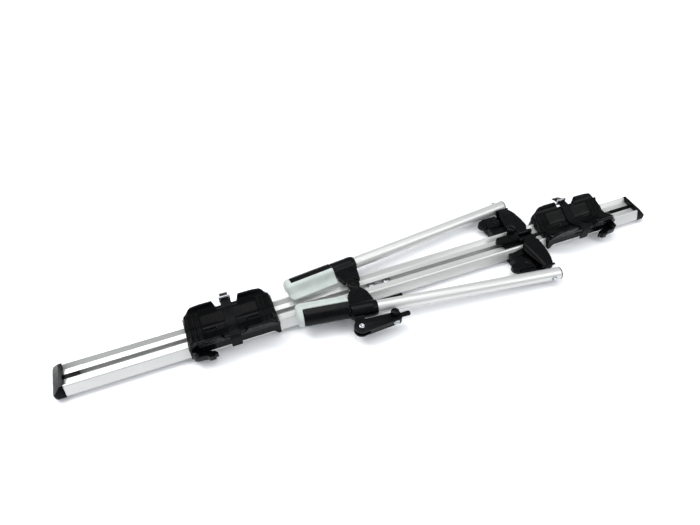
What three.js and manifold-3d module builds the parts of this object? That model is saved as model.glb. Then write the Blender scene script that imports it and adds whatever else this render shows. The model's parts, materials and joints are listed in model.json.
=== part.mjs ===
// Roof-mounted bicycle carrier: a wheel-gutter rail with two wheel trays and a fold-flat clamping frame.
// Millimetres. +X runs along the rail, +Y to its far side, +Z up. The origin is the centre of the
// rail's flat underside. "side" is +1 for far pieces and -1 for near ones.
import * as THREE from "three";
import { mergeVertices } from "three/addons/utils/BufferGeometryUtils.js";
import Module from "manifold-3d";

const wasm = await Module();
wasm.setup();

// ---------------------------------------------------------------- driving dimensions
const GAP = 0.3; // between pieces that meet
const RAIL_LENGTH = 1340;
const RAIL_HALF_BASE = 36;
const RAIL_HALF_CREST = 25;
const CREST_HEIGHT = 22.5;
const GUTTER_HALF = 17;
const GUTTER_HEIGHT = 13.8;
const RAIL_WALL = 1.8;
const SLOT_WIDTH = 10.7;
const CHANNEL_HALF = 9.5;

const CAP_LENGTH = 22;
const CAP_LIP = 1; // how far an end cap stands proud of the rail
const TONGUE_LEFT = 28;
const TONGUE_RIGHT = 50;

const FOOT_HEIGHT = 8; // bar feet below the rail
const FOOT_PAD = 2;
const REAR_FOOT_X = -9;
const REAR_FOOT_LENGTH = 72;
const REAR_FOOT_HALF = 44;

const BASE_X = 300; // front face of the base
const CRADLE_LENGTH = 72;
const CRADLE_HALF = 91.5;
const CRADLE_HEIGHT = 14;
const FINGER_LENGTH = 18; // how far the side fingers reach ahead of the cradle
const FINGER_Y = 72;
const BOLT_Y = 70.5;
const BLOCK_LENGTH = 84;
const BLOCK_HALF = 16;
const HINGE_Y = 9.5; // wing hinges, from the rail's middle
const HINGE_Z = 24.3;
const HINGE_LENGTH = 28;
const HINGE_PIN_RADIUS = 2;
const BARREL_RADIUS = 4.6;

const LUG_THICKNESS = 6;
const FOLD_X = 357; // fold axis
const FOLD_Z = 10.5;
const FOLD_PIN_RADIUS = 4;

const TUBE_RADIUS = 14;
const TUBE_WALL = 2;
const TUBE_TAIL = 19; // tube past the fold axis
const TUBE_OFFSET = 117.3; // tube axis at the fold axis, from the rail's middle
const LUG_CLEARANCE = 2.3; // between a wing's pivot lug and its tube
const WING_REACH = TUBE_OFFSET - TUBE_RADIUS - LUG_CLEARANCE; // outer face of a wing's pivot lug
const TUBE_TOE = 7.16; // degrees that each tube leans in towards the jaws
const FRAME_RISE = 1.42; // degrees that the folded frame rises towards the jaws
const HEAD_START = 406; // along the tube, from the fold axis
const HEAD_LENGTH = 59;
const SLEEVE_RADIUS = 18;
const HUB_REACH = 430; // hub centre, back from the fold axis
const HUB_RADIUS = 14;
const HUB_GAP = 2.5; // room round the hub in the far head
const WEB_BOTTOM = 2.5;
const WEB_TOP = 12;
const JAW_LENGTH = 110;
const JAW_TIP = 13.5; // pad wrapped round the jaw's end

const LEVER_PIVOT = [-454, -107]; // in the frame's plane, from the fold axis
const LEVER_LENGTH = 88;
const LEVER_HALF = 8; // half its thickness
const LEVER_HEEL = 16;
const LEVER_END = 9.5;
const LEVER_LUG = 4; // half the thickness of the head's lug
const KNOB_RADIUS = 9;
const LOCK_RADIUS = 7;

const TRAY_LEFT_X = -341;
const TRAY_RIGHT_X = 495;
const TRAY_HALF_LENGTH = 93;
const TRAY_TOP_HALF = 48;
const TRAY_TOP = 56;
const TRAY_FLOOR = 25;
const TRAY_SKIRT = 38.5;
const STRAP_WIDTH = 22;
const STRAP_THICKNESS = 2.4;

// ---------------------------------------------------------------- finishes
const finish = (color, roughness, metalness) => () =>
  new THREE.MeshStandardMaterial({ color, roughness, metalness });
const aluminium = finish(0xdfe0dc, 0.35, 0.9);
const blackPlastic = finish(0x17191a, 0.5, 0);
const rubberPad = finish(0xc3cec9, 0.8, 0);
const blackRubber = finish(0x202222, 0.85, 0);
const steel = finish(0xb9bcc0, 0.3, 1);
const webbing = finish(0x141516, 0.9, 0);

// ---------------------------------------------------------------- shape helpers
const degrees = THREE.MathUtils.degToRad;

// A closed outline, turned anticlockwise.
function outline(points) {
  const corners = points.map(([x, y]) => new THREE.Vector2(x, y));
  if (THREE.ShapeUtils.area(corners) < 0) corners.reverse();
  return new THREE.Shape(corners);
}

function arc(cx, cy, radius, from, to, steps) {
  const points = [];
  for (let i = 0; i <= steps; i++) {
    const a = degrees(from + ((to - from) * i) / steps);
    points.push([cx + radius * Math.cos(a), cy + radius * Math.sin(a)]);
  }
  return points;
}

function extrude(shape, depth) {
  return new THREE.ExtrudeGeometry(shape, { depth, bevelEnabled: false, curveSegments: 8 });
}

// A plan outline (x, y) raised from z = low to high.
function plan(shape, low, high) {
  return extrude(shape, high - low).translate(0, 0, low);
}

// A section (y, z) carried along x from low to high.
function alongX(shape, low, high) {
  const basis = new THREE.Matrix4().makeBasis(
    new THREE.Vector3(0, 1, 0), new THREE.Vector3(0, 0, 1), new THREE.Vector3(1, 0, 0));
  return extrude(shape, high - low).applyMatrix4(basis).translate(low, 0, 0);
}

// A side view (x, z) carried along y from low to high.
function alongY(shape, low, high) {
  const basis = new THREE.Matrix4().makeBasis(
    new THREE.Vector3(1, 0, 0), new THREE.Vector3(0, 0, 1), new THREE.Vector3(0, -1, 0));
  return extrude(shape, high - low).applyMatrix4(basis).translate(0, high, 0);
}

function block(x, y, z) {
  return new THREE.BoxGeometry(x[1] - x[0], y[1] - y[0], z[1] - z[0])
    .translate((x[0] + x[1]) / 2, (y[0] + y[1]) / 2, (z[0] + z[1]) / 2);
}

function disc(axis, centre, radius, low, high, sides = 20) {
  const rod = new THREE.CylinderGeometry(radius, radius, high - low, sides);
  if (axis === "x") rod.rotateZ(Math.PI / 2).translate((low + high) / 2, centre[0], centre[1]);
  if (axis === "y") rod.translate(centre[0], (low + high) / 2, centre[1]);
  if (axis === "z") rod.rotateX(Math.PI / 2).translate(centre[0], centre[1], (low + high) / 2);
  return rod;
}

// A turned piece on the z axis: profile holds (radius, z) points from axis to axis.
function turned(profile, sides = 20) {
  const points = profile.map(([r, z]) => new THREE.Vector2(r, z));
  return new THREE.LatheGeometry(points, sides).rotateX(Math.PI / 2);
}

function solid(geometry) {
  const bare = geometry.clone();
  bare.deleteAttribute("normal");
  bare.deleteAttribute("uv");
  const merged = mergeVertices(bare, 1e-4);
  return new wasm.Manifold(new wasm.Mesh({
    numProp: 3,
    vertProperties: new Float32Array(merged.attributes.position.array),
    triVerts: new Uint32Array(merged.index.array),
  }));
}

function surface(body) {
  const mesh = body.getMesh();
  const geometry = new THREE.BufferGeometry();
  geometry.setAttribute("position", new THREE.BufferAttribute(mesh.vertProperties, 3));
  geometry.setIndex(new THREE.BufferAttribute(mesh.triVerts, 1));
  return geometry;
}

const join = (...parts) => surface(parts.map(solid).reduce((a, b) => a.add(b)));
const cut = (part, ...tools) => surface(tools.map(solid).reduce((a, b) => a.subtract(b), solid(part)));
const common = (...parts) => surface(parts.map(solid).reduce((a, b) => a.intersect(b)));

// The same piece on the other side of the rail: y is turned over, and so is each triangle.
function toSide(geometry, side) {
  if (side > 0) return geometry;
  const turnedOver = geometry.index ? geometry.toNonIndexed() : geometry.clone();
  const p = turnedOver.attributes.position;
  const at = new THREE.Vector3();
  for (let i = 0; i < p.count; i += 3) {
    const corners = [0, 2, 1].map((k) => at.fromBufferAttribute(p, i + k).toArray());
    corners.forEach(([x, y, z], k) => p.setXYZ(i + k, x, -y, z));
  }
  return turnedOver;
}

const toEnd = (geometry, end) => (end > 0 ? geometry : toSide(geometry, -1).rotateZ(Math.PI));
const sideName = (side) => (side > 0 ? "far" : "near");

function piece(parent, name, geometry, material) {
  const mesh = new THREE.Mesh(geometry, material());
  mesh.name = name;
  parent.add(mesh);
  return mesh;
}

// ---------------------------------------------------------------- rail
// Half of the rail's outer contour, from the gutter floor over the crest to the base.
const railHalf = (grow) => [
  [GUTTER_HALF, GUTTER_HEIGHT + grow],
  [RAIL_HALF_CREST - 1.2, CREST_HEIGHT + grow],
  [RAIL_HALF_CREST + 0.8 + grow, CREST_HEIGHT + grow],
  [RAIL_HALF_CREST + 2.4 + grow, CREST_HEIGHT - 1.2],
  [RAIL_HALF_BASE + grow, 2],
  [RAIL_HALF_BASE + grow, -grow],
];
const mirrored = (points) => points.map(([y, z]) => [-y, z]).reverse();

// The full contour without its slot, grown all round.
const railContour = (grow) => outline([...railHalf(grow), ...mirrored(railHalf(grow))]);

function railGeometry() {
  const slot = SLOT_WIDTH / 2;
  const roof = GUTTER_HEIGHT - RAIL_WALL;
  const channel = [[slot, GUTTER_HEIGHT], [slot, roof], [CHANNEL_HALF, roof], [CHANNEL_HALF, RAIL_WALL]];
  const section = outline([...railHalf(0), ...mirrored(railHalf(0)),
    ...mirrored(channel).reverse(), ...channel.slice().reverse()]);
  const chamber = [
    [CHANNEL_HALF + RAIL_WALL, RAIL_WALL],
    [RAIL_HALF_BASE - RAIL_WALL, RAIL_WALL],
    [RAIL_HALF_CREST + 0.8, CREST_HEIGHT - RAIL_WALL - 0.8],
    [RAIL_HALF_CREST - 0.8, CREST_HEIGHT - RAIL_WALL - 0.8],
    [GUTTER_HALF, roof],
    [CHANNEL_HALF + RAIL_WALL, roof],
  ];
  const bar = alongX(section, -RAIL_LENGTH / 2, RAIL_LENGTH / 2);
  const chambers = [chamber, mirrored(chamber)].map((points) =>
    alongX(outline(points), -RAIL_LENGTH / 2 - 1, RAIL_LENGTH / 2 + 1));
  const holes = rearBoltX.map((x) => disc("z", [x, 0], BOLT_RADIUS + GAP, -1, RAIL_WALL + 1, 12));
  return cut(bar, ...chambers, ...holes);
}

// An end cap closes the section, with round corners in plan and a tongue that fills the slot.
function capGeometry(end, tongue) {
  const start = RAIL_LENGTH / 2 + GAP;
  const contour = alongX(railContour(CAP_LIP), start, start + CAP_LENGTH);
  const fill = block([start, start + CAP_LENGTH], [-RAIL_HALF_CREST, RAIL_HALF_CREST], [4, CREST_HEIGHT + CAP_LIP]);
  const slope = outline([[start - 1, -5], [start - 1, CREST_HEIGHT + 5], [start + 5, CREST_HEIGHT + 5],
    [start + 7, CREST_HEIGHT], [start + CAP_LENGTH + 0.5, 6], [start + CAP_LENGTH + 0.5, -5]]);
  const body = common(join(contour, fill), alongY(slope, -80, 80));
  const half = RAIL_HALF_BASE + CAP_LIP;
  const round = 9;
  const corners = outline([
    [start - 1, -half - 1], [start - 1, half + 1],
    ...arc(start + CAP_LENGTH - round, half - round, round, 90, 0, 4),
    ...arc(start + CAP_LENGTH - round, round - half, round, 0, -90, 4)]);
  const rounded = common(body, plan(corners, -5, CREST_HEIGHT + 5));
  const width = SLOT_WIDTH / 2 - GAP;
  const plug = block([start - tongue, start + 2], [-width, width], [RAIL_WALL + GAP, GUTTER_HEIGHT - 0.2]);
  return toEnd(join(rounded, plug), end);
}

// ---------------------------------------------------------------- bar feet
const BOLT_RADIUS = 3;
const NUT_HALF = 8;
const NUT_HEIGHT = 6;
const rearBoltX = [REAR_FOOT_X - 18, REAR_FOOT_X + 18];

function rearFootGeometry() {
  const half = REAR_FOOT_LENGTH / 2;
  const x = [REAR_FOOT_X - half, REAR_FOOT_X + half];
  const plate = block(x, [-REAR_FOOT_HALF, REAR_FOOT_HALF], [-FOOT_HEIGHT, -GAP]);
  const tools = rearBoltX.flatMap((at) => [
    disc("z", [at, 0], BOLT_RADIUS + GAP, -FOOT_HEIGHT - 1, 1, 12),
    disc("z", [at, 0], 6 + GAP, -FOOT_HEIGHT - 1, -FOOT_HEIGHT + 4, 16)]);
  return cut(plate, ...tools);
}

// A bolt up into the rail's channel: head in the foot, square nut under the slot.
function footBoltGeometry(x) {
  const floor = RAIL_WALL + GAP;
  return join(
    disc("z", [x, 0], 6, -FOOT_HEIGHT + GAP, -FOOT_HEIGHT + 3.7, 16),
    disc("z", [x, 0], BOLT_RADIUS, -FOOT_HEIGHT + 1, floor + NUT_HEIGHT + 1.5, 12),
    block([x - NUT_HALF, x + NUT_HALF], [-NUT_HALF, NUT_HALF], [floor, floor + NUT_HEIGHT]));
}

const padGeometry = (x, half) =>
  block(x, [-half, half], [-FOOT_HEIGHT - FOOT_PAD, -FOOT_HEIGHT - GAP]);

// ---------------------------------------------------------------- base
const cradleX = [BASE_X, BASE_X + CRADLE_LENGTH];

// The cradle passes under the rail and carries a gusset and a finger on each side.
function cradleGeometry() {
  const floor = block(cradleX, [-CRADLE_HALF, CRADLE_HALF], [-FOOT_HEIGHT, CRADLE_HEIGHT]);
  const parts = [floor];
  for (const side of [1, -1]) {
    const web = outline([[cradleX[0] + 3, CRADLE_HEIGHT - 2], [cradleX[0] + 33, CREST_HEIGHT - 4.5],
      [cradleX[1] - 14, CREST_HEIGHT - 4.5], [cradleX[1], CRADLE_HEIGHT - 2]]);
    parts.push(toSide(alongY(web, RAIL_HALF_CREST, RAIL_HALF_BASE + 10), side));
    const tip = cradleX[0] - FINGER_LENGTH + 11;
    const finger = outline([
      ...arc(tip, FINGER_Y + 2, 11, 100, 250, 8),
      [BASE_X + 1, FINGER_Y - 9], [BASE_X + 6, FINGER_Y - 16], [cradleX[1] - 38, FINGER_Y - 16],
      [cradleX[1] - 38, FINGER_Y + 17], [BASE_X + 12, FINGER_Y + 14]]);
    parts.push(toSide(plan(finger, CRADLE_HEIGHT - 8, CRADLE_HEIGHT + 4), side));
  }
  const bores = [1, -1].flatMap((side) => [
    disc("z", [BASE_X + 26, side * BOLT_Y], BOLT_RADIUS + GAP, -FOOT_HEIGHT - 1, 40, 12),
    disc("z", [BASE_X + 26, side * BOLT_Y], 6 + GAP, -FOOT_HEIGHT - 1, -FOOT_HEIGHT + 4, 16)]);
  const rail = alongX(railContour(0.4), BASE_X - 10, BASE_X + CRADLE_LENGTH + 10);
  const over = block([BASE_X - 40, BASE_X + 110], [-26, 26], [0, 60]);
  const steps = [1, -1].map((side) => toSide(
    block([cradleX[1] - 37, cradleX[1] + 5], [60, CRADLE_HALF + 5], [CRADLE_HEIGHT - 6, 60]), side));
  return cut(join(...parts), rail, over, ...steps, ...bores);
}

// A clamp bolt with a low round cap on the finger and a nut flush in the foot.
function clampBoltGeometry(side) {
  const top = CRADLE_HEIGHT + 4 + GAP;
  const cap = turned([[0, 0], [8.5, 0], [8.5, 0.8], [6.5, 1.8], [0, 2.1]]);
  return join(
    cap.translate(BASE_X + 26, side * BOLT_Y, top),
    disc("z", [BASE_X + 26, side * BOLT_Y], BOLT_RADIUS, -FOOT_HEIGHT + 1, top + 1, 12),
    disc("z", [BASE_X + 26, side * BOLT_Y], 6, -FOOT_HEIGHT + GAP, -FOOT_HEIGHT + 3.7, 6));
}

const hingeX = [FOLD_X + 5 - HINGE_LENGTH / 2, FOLD_X + 5 + HINGE_LENGTH / 2];
const LOCK_AT = [BASE_X + 23, -2];
const RELEASE_AT = [BASE_X + 31, 17];
const FINGER_TOP = 33;

// The block stands in the gutter. Its lugs hold the wing hinge pins and its finger points forward.
function hingeBlockGeometry() {
  const low = GUTTER_HEIGHT + GAP;
  const x = [BASE_X, BASE_X + BLOCK_LENGTH];
  const parts = [block(x, [-BLOCK_HALF, BLOCK_HALF], [low, HINGE_Z - BARREL_RADIUS - 0.5])];
  const finger = outline([...arc(x[0] - 8, 0, 9, 90, 270, 10), [hingeX[0] - 9, -9], [hingeX[0] - 9, 9]]);
  parts.push(plan(finger, low, FINGER_TOP));
  parts.push(disc("z", RELEASE_AT, 7.5, CREST_HEIGHT + 0.5, FINGER_TOP - 3));
  const bridge = [RELEASE_AT[0] - 6, RELEASE_AT[0] + 6];
  parts.push(block(bridge, [5, RELEASE_AT[1]], [CREST_HEIGHT + 0.5, FINGER_TOP - 3]));
  for (const side of [1, -1]) {
    for (const lug of [[hingeX[0] - 9, hingeX[0] - GAP], [hingeX[1] + GAP, hingeX[1] + 8]]) {
      parts.push(disc("x", [side * HINGE_Y, HINGE_Z], BARREL_RADIUS, lug[0], lug[1]));
      const y = [side * HINGE_Y - 4, side * HINGE_Y + 4];
      parts.push(block(lug, y, [low + 1, HINGE_Z]));
    }
  }
  const tools = [1, -1].map((side) =>
    disc("x", [side * HINGE_Y, HINGE_Z], HINGE_PIN_RADIUS + GAP, hingeX[0] - 5, hingeX[1] + 20, 16));
  tools.push(block([x[0] - 30, x[0]], [-20, 20], [0, CREST_HEIGHT]));
  tools.push(disc("z", LOCK_AT, 5 + GAP, FINGER_TOP - 8, FINGER_TOP + 5));
  tools.push(disc("z", RELEASE_AT, 4 + GAP, FINGER_TOP - 9, FINGER_TOP + 5));
  return cut(join(...parts), ...tools);
}

// The nut's neck fills the slot under the block, its wide foot runs in the channel.
function slotNutGeometry(x, neckTo) {
  const roof = GUTTER_HEIGHT - RAIL_WALL;
  const half = SLOT_WIDTH / 2 - GAP;
  return join(
    block([x[0] + 4, x[1] - 4], [-NUT_HALF, NUT_HALF], [RAIL_WALL + GAP, roof - GAP]),
    block([x[0], neckTo], [-half, half], [RAIL_WALL + 2, GUTTER_HEIGHT]));
}

const hingePinGeometry = (side) =>
  disc("x", [side * HINGE_Y, HINGE_Z], HINGE_PIN_RADIUS, hingeX[0] - 4, hingeX[1] + 8, 16);

function lockBarrelGeometry(radius, depth) {
  const barrel = turned([[0, -depth], [radius, -depth], [radius, 0.8], [radius - 0.8, 1.6], [0, 1.6]]);
  return cut(barrel, block([-radius * 0.55, radius * 0.55], [-0.7, 0.7], [-2, 5]));
}

function releaseKnobGeometry() {
  const profile = [[0, -8.5], [4, -8.5], [4, 0.4], [9, 0.4], [10, 1.6], [10, 7.5], [8.8, 9.8], [5, 11], [0, 11.4]];
  return turned(profile, 24);
}

// ---------------------------------------------------------------- wings
const WING_EDGE = FOLD_X - 23;
const wingPlan = () => new THREE.Shape([
  [hingeX[0], HINGE_Y - BARREL_RADIUS - 1], [hingeX[0], 17],
  [WING_EDGE - 1, 32], [WING_EDGE - 2, 44], [WING_EDGE + 2, 66], [WING_EDGE + 12, 88],
  [WING_EDGE + 15, WING_REACH], [FOLD_X + 17, WING_REACH],
  [FOLD_X + 22, 78], [FOLD_X + 24.5, 50], [FOLD_X + 24, 24], [hingeX[1], 17],
  [hingeX[1], HINGE_Y - BARREL_RADIUS - 1]].map(([x, y]) => new THREE.Vector2(x, y)));

// A wing arches over the rail from its hinge barrel to the lug that holds the fold pin.
function wingGeometry(side) {
  const arch = outline([
    [HINGE_Y, HINGE_Z + BARREL_RADIUS], [26, 29.6], [50, 28.8], [74, 26.4], [92, 23.6], [WING_REACH, 20.6],
    [WING_REACH, 14], [90, 17.4], [74, 21.2], [50, 24], [26, 24.6], [HINGE_Y, 24.4]]);
  const lug = [WING_REACH - LUG_THICKNESS, WING_REACH];
  const body = join(
    common(alongX(arch, WING_EDGE - 10, FOLD_X + 30), plan(wingPlan(), 0, 60)),
    disc("x", [HINGE_Y, HINGE_Z], BARREL_RADIUS, hingeX[0], hingeX[1]),
    disc("y", [FOLD_X, FOLD_Z], 12, lug[0], lug[1], 24),
    block([FOLD_X - 10, FOLD_X + 12], lug, [FOLD_Z, 18]));
  const wing = cut(body,
    disc("x", [HINGE_Y, HINGE_Z], HINGE_PIN_RADIUS + GAP, hingeX[0] - 2, hingeX[1] + 2, 16),
    disc("y", [FOLD_X, FOLD_Z], FOLD_PIN_RADIUS + GAP, lug[0] - 2, lug[1] + 2));
  return toSide(wing, side);
}

// The fold pin runs through the wing's lug and the tube, with a low head at each end.
function foldPinGeometry(side) {
  const inside = WING_REACH - LUG_THICKNESS - GAP;
  const outside = TUBE_OFFSET + TUBE_RADIUS + 1.4;
  return toSide(join(
    disc("y", [FOLD_X, FOLD_Z], FOLD_PIN_RADIUS, inside - 1, outside + 1, 20),
    disc("y", [FOLD_X, FOLD_Z], 4.8, inside - 1.5, inside, 16),
    disc("y", [FOLD_X, FOLD_Z], 6.2, outside, outside + 1.8, 20)), side);
}

// ---------------------------------------------------------------- arms
// Arm pieces lie along -x from the fold axis, with +y outward on the far side.
const headX = [-HEAD_START - HEAD_LENGTH, -HEAD_START];

function tubeGeometry(side) {
  const low = headX[0] + 4;
  const hull = disc("x", [0, 0], TUBE_RADIUS, low, TUBE_TAIL, 28);
  const bore = disc("x", [0, 0], TUBE_RADIUS - TUBE_WALL, low - 1, TUBE_TAIL + 1, 28);
  const pin = disc("y", [0, 0], FOLD_PIN_RADIUS + GAP, -40, 40);
  return toSide(cut(hull, bore, pin.rotateZ(-degrees(TUBE_TOE))), side);
}

function tubePlugGeometry() {
  const inner = TUBE_RADIUS - TUBE_WALL - GAP;
  return join(
    disc("x", [0, 0], inner, TUBE_TAIL - 10, TUBE_TAIL + 1, 24),
    disc("x", [0, 0], TUBE_RADIUS, TUBE_TAIL + GAP, TUBE_TAIL + 1.8, 28));
}

// Places a geometry that is drawn in the frame's plane into the arm's own axes.
function intoArm(geometry, side) {
  return geometry.translate(0, -side * TUBE_OFFSET, 0).rotateZ(-side * degrees(TUBE_TOE));
}

const webPlan = (side) => outline([
  [-HUB_REACH - 29, side * 50], [-HUB_REACH - 25, side * 24], [-HUB_REACH - 11, side * 10],
  [-HUB_REACH + 11, side * 10], [-HUB_REACH + 21, side * 24], [-HUB_REACH + 26, side * 56]]);

// Each head is a sleeve on its tube with a web towards the middle. The near web ends in a hub,
// and the far web ends in a cradle that faces the hub and a tongue that enters it.
function headGeometry(side) {
  const sleeve = turned([[0, headX[0]], [16.6, headX[0]], [SLEEVE_RADIUS, headX[0] + 3],
    [SLEEVE_RADIUS, headX[1] - 8], [15.5, headX[1]], [0, headX[1]]], 28).rotateY(Math.PI / 2);
  const hub = [-HUB_REACH, 0];
  const parts = [sleeve, intoArm(plan(webPlan(side), WEB_BOTTOM, WEB_TOP), side)];
  const tools = [disc("x", [0, 0], TUBE_RADIUS + GAP, headX[0] + 3.5, 0, 28)];
  const slot = [WEB_BOTTOM + 1.2, WEB_BOTTOM + 9.6];
  if (side < 0) {
    const dome = turned([[0, WEB_BOTTOM], [HUB_RADIUS, WEB_BOTTOM], [HUB_RADIUS, WEB_TOP - 1],
      [HUB_RADIUS - 2.5, WEB_TOP + 2], [0, WEB_TOP + 2]], 24).translate(hub[0], hub[1], 0);
    parts.push(intoArm(dome, side));
    parts.push(leverLugGeometry());
    tools.push(intoArm(disc("z", hub, 4 + GAP, WEB_TOP - 2, 40), side));
    tools.push(intoArm(block([hub[0] - 8, hub[0] + 8], [3, 30], slot), side));
    tools.push(leverBore(side));
    return cut(join(...parts), ...tools);
  }
  const room = disc("z", hub, HUB_RADIUS + HUB_GAP, -5, 40, 24);
  tools.push(intoArm(join(room, block([hub[0] - 19, hub[0] + 19], [-12, 2], [-5, 40])), side));
  const tongue = block([hub[0] - 6.5, hub[0] + 6.5], [5, 24], [slot[0] + 3.4, slot[0] + 6.4]);
  return join(cut(join(...parts), ...tools), intoArm(tongue, side));
}

function hubBoltGeometry() {
  return turned([[0, -2 + GAP], [4, -2 + GAP], [4, 2.3], [6, 2.3], [6, 3.4], [4.6, 4.4], [0, 4.6]])
    .translate(-HUB_REACH, 0, WEB_TOP);
}

// Section of a jaw in (y outward, z up): a soft inner pad with a hollow face, and a hard outer shell.
const JAW_SPLIT = -9;
const padSection = () => [
  [JAW_SPLIT, 1.2], [JAW_SPLIT, 25.2], [-15, 25.4], [-20.5, 23.6], [-24, 18.5], [-29, 12.6],
  [-35.5, 8.6], [-40, 6.4], [-41, 3.4], [-39.5, 1.2]];
const shellSection = (split) => [
  [split, 1.2], [-6, -5.5], [0, -9], [9, -9], [14.4, -4], [16, 3], [14, 12], [8.4, 20], [0, 24.4], [split, 25.2]];

const jawX = [headX[0] - 1.5 - JAW_LENGTH, headX[0] - 1.5];

function roundTip(geometry) {
  const round = 12;
  const tip = outline([
    ...arc(jawX[0] + round, -41 + round, round, 270, 180, 5),
    ...arc(jawX[0] + 18, -1, 18, 180, 90, 6), [1, 17], [1, -41]]);
  return common(geometry, plan(tip, -30, 60));
}

function jawPadGeometry(side) {
  const inner = alongX(outline(padSection()), jawX[0], jawX[1]);
  const full = outline([...padSection().slice(2), ...shellSection(-9)]);
  const tip = alongX(full, jawX[0], jawX[0] + JAW_TIP);
  return toSide(roundTip(join(inner, tip)), side);
}

function jawShellGeometry(side) {
  const shell = outline(shellSection(JAW_SPLIT + GAP));
  return toSide(alongX(shell, jawX[0] + JAW_TIP + GAP, jawX[1]), side);
}

// ---------------------------------------------------------------- clamp lever
const leverBore = (side) => intoArm(disc("z", LEVER_PIVOT, 4 + GAP, -20, 20, 16), side);

function leverLugGeometry() {
  const [x, y] = LEVER_PIVOT;
  const lug = outline([...arc(x, y, 11, 150, 390, 10), [x + 18, y + 36], [x - 6, y + 36]]);
  return intoArm(plan(lug, -LEVER_LUG, LEVER_LUG), -1);
}

// The lever tapers from its forked heel to a thin tab, and holds the knob and the lock barrel.
function leverGeometry() {
  const [x, y] = LEVER_PIVOT;
  const end = x + LEVER_LENGTH;
  const body = outline([...arc(x, y, LEVER_HEEL, 70, 290, 14),
    [end - 4, y - LEVER_END - 1], [end, y - LEVER_END + 3], [end, y + LEVER_END - 2], [end - 4, y + LEVER_END]]);
  const tab = outline([[end - 4, y - 4], [end + 18, y - 5], [end + 21, y - 2], [end + 21, y + 4],
    [end + 18, y + 6], [end - 4, y + 6]]);
  const fork = join(
    disc("z", [x, y], LEVER_HEEL + 4, -LEVER_LUG - GAP, LEVER_LUG + GAP, 28),
    block([x - 24, x + 24], [y, y + 30], [-LEVER_LUG - GAP, LEVER_LUG + GAP]));
  return cut(join(plan(body, -LEVER_HALF, LEVER_HALF), plan(tab, 2, 5)),
    fork,
    disc("z", [x, y], 4 + GAP, -20, 20, 16),
    disc("z", knobAt, 2.5 + GAP, 0, 20, 12),
    disc("y", [knobAt[0] - 2, -1], LOCK_RADIUS + GAP, y - 20, y + 1));
}

const knobAt = [LEVER_PIVOT[0] + LEVER_LENGTH - 12, LEVER_PIVOT[1] + 6];

function leverRivetGeometry() {
  const cap = LEVER_HALF + GAP;
  return turned([[0, -cap - 1.4], [6, -cap - 1.4], [6, -cap], [4, -cap], [4, cap], [6.4, cap],
    [6, cap + 1], [4, cap + 1.7], [0, cap + 1.9]]).translate(LEVER_PIVOT[0], LEVER_PIVOT[1], 0);
}

// A knob with a ribbed rim on a short stem.
function tensionKnobGeometry() {
  const ribs = 12;
  const rim = [];
  for (let i = 0; i < ribs * 2; i++) {
    const a = (Math.PI * i) / ribs;
    const r = i % 2 ? KNOB_RADIUS : KNOB_RADIUS - 0.9;
    rim.push([r * Math.cos(a), r * Math.sin(a)]);
  }
  const head = plan(outline(rim), LEVER_HALF + GAP, LEVER_HALF + 9);
  const top = turned([[0, 0], [KNOB_RADIUS - 1.4, 0], [KNOB_RADIUS - 3, 1.6], [0, 1.9]]);
  const stem = disc("z", [0, 0], 2.5, 0.5, LEVER_HALF + 1, 12);
  return join(head, top.translate(0, 0, LEVER_HALF + 8.9), stem).translate(knobAt[0], knobAt[1], 0);
}

// ---------------------------------------------------------------- wheel trays
// Tray pieces are drawn about the tray's middle. "end" is +1 on the right tray and -1 on the left.
const troughHalf = [[TRAY_TOP_HALF - 4, TRAY_TOP], [31, 38], [10, TRAY_FLOOR + 2.5], [8, TRAY_FLOOR]];
const outerHalf = [
  [RAIL_HALF_BASE + 0.6, 3], [TRAY_SKIRT + 3.5, 1], [TRAY_SKIRT + 1, 16], [TRAY_SKIRT, 26],
  [TRAY_SKIRT + 4, 42], [TRAY_TOP_HALF, TRAY_TOP]];

// The walls are cut to two lobes a side, with a gap for the strap and sloping ends.
function trayGeometry(end) {
  const half = [[0, GUTTER_HEIGHT + 1], ...outerHalf, ...troughHalf];
  const section = outline([...half, ...mirrored(half.slice(1))]);
  const trough = alongX(section, -TRAY_HALF_LENGTH, TRAY_HALF_LENGTH);
  const view = outline([
    [-TRAY_HALF_LENGTH, -5], [-TRAY_HALF_LENGTH, 22], [-TRAY_HALF_LENGTH + 4, 36],
    [-TRAY_HALF_LENGTH + 14, 50], [-TRAY_HALF_LENGTH + 22, 54], [-58, TRAY_TOP + 1],
    [-34, TRAY_TOP + 1], [-27, 54], [-24, 50], [-21, 40], [21, 40], [24, 50], [27, 54],
    [34, TRAY_TOP + 1], [58, TRAY_TOP + 1], [TRAY_HALF_LENGTH - 22, 54], [TRAY_HALF_LENGTH - 14, 50],
    [TRAY_HALF_LENGTH - 4, 36], [TRAY_HALF_LENGTH, 22], [TRAY_HALF_LENGTH, -5],
    [TRAY_HALF_LENGTH - 8, -5], [TRAY_HALF_LENGTH - 14, 10], [14 - TRAY_HALF_LENGTH, 10],
    [8 - TRAY_HALF_LENGTH, -5]]);
  const shaped = common(trough, alongY(view, -80, 80));
  const rail = alongX(railContour(0.5), -200, 200);
  const lug = lockLugGeometry(end);
  const slots = [-1, 1].map((s) => block([s * 46 - 14, s * 46 + 14], [-2.5, 2.5], [10, 60]));
  return cut(join(shaped, lug), rail, ...slots, lockBore(end));
}

const LOCK_PIVOT = [82, -48.5];
const lockBore = (end) => disc("z", [end * LOCK_PIVOT[0], LOCK_PIVOT[1]], 2.5 + GAP, 0, 60, 12);

function lockLugGeometry(end) {
  const [x, y] = LOCK_PIVOT;
  const lug = outline([...arc(x, y, 7, 180, 360, 8), [x + 7, -36], [x - 12, -36]]);
  return toEnd(plan(lug, 21, 27), end);
}

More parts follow.
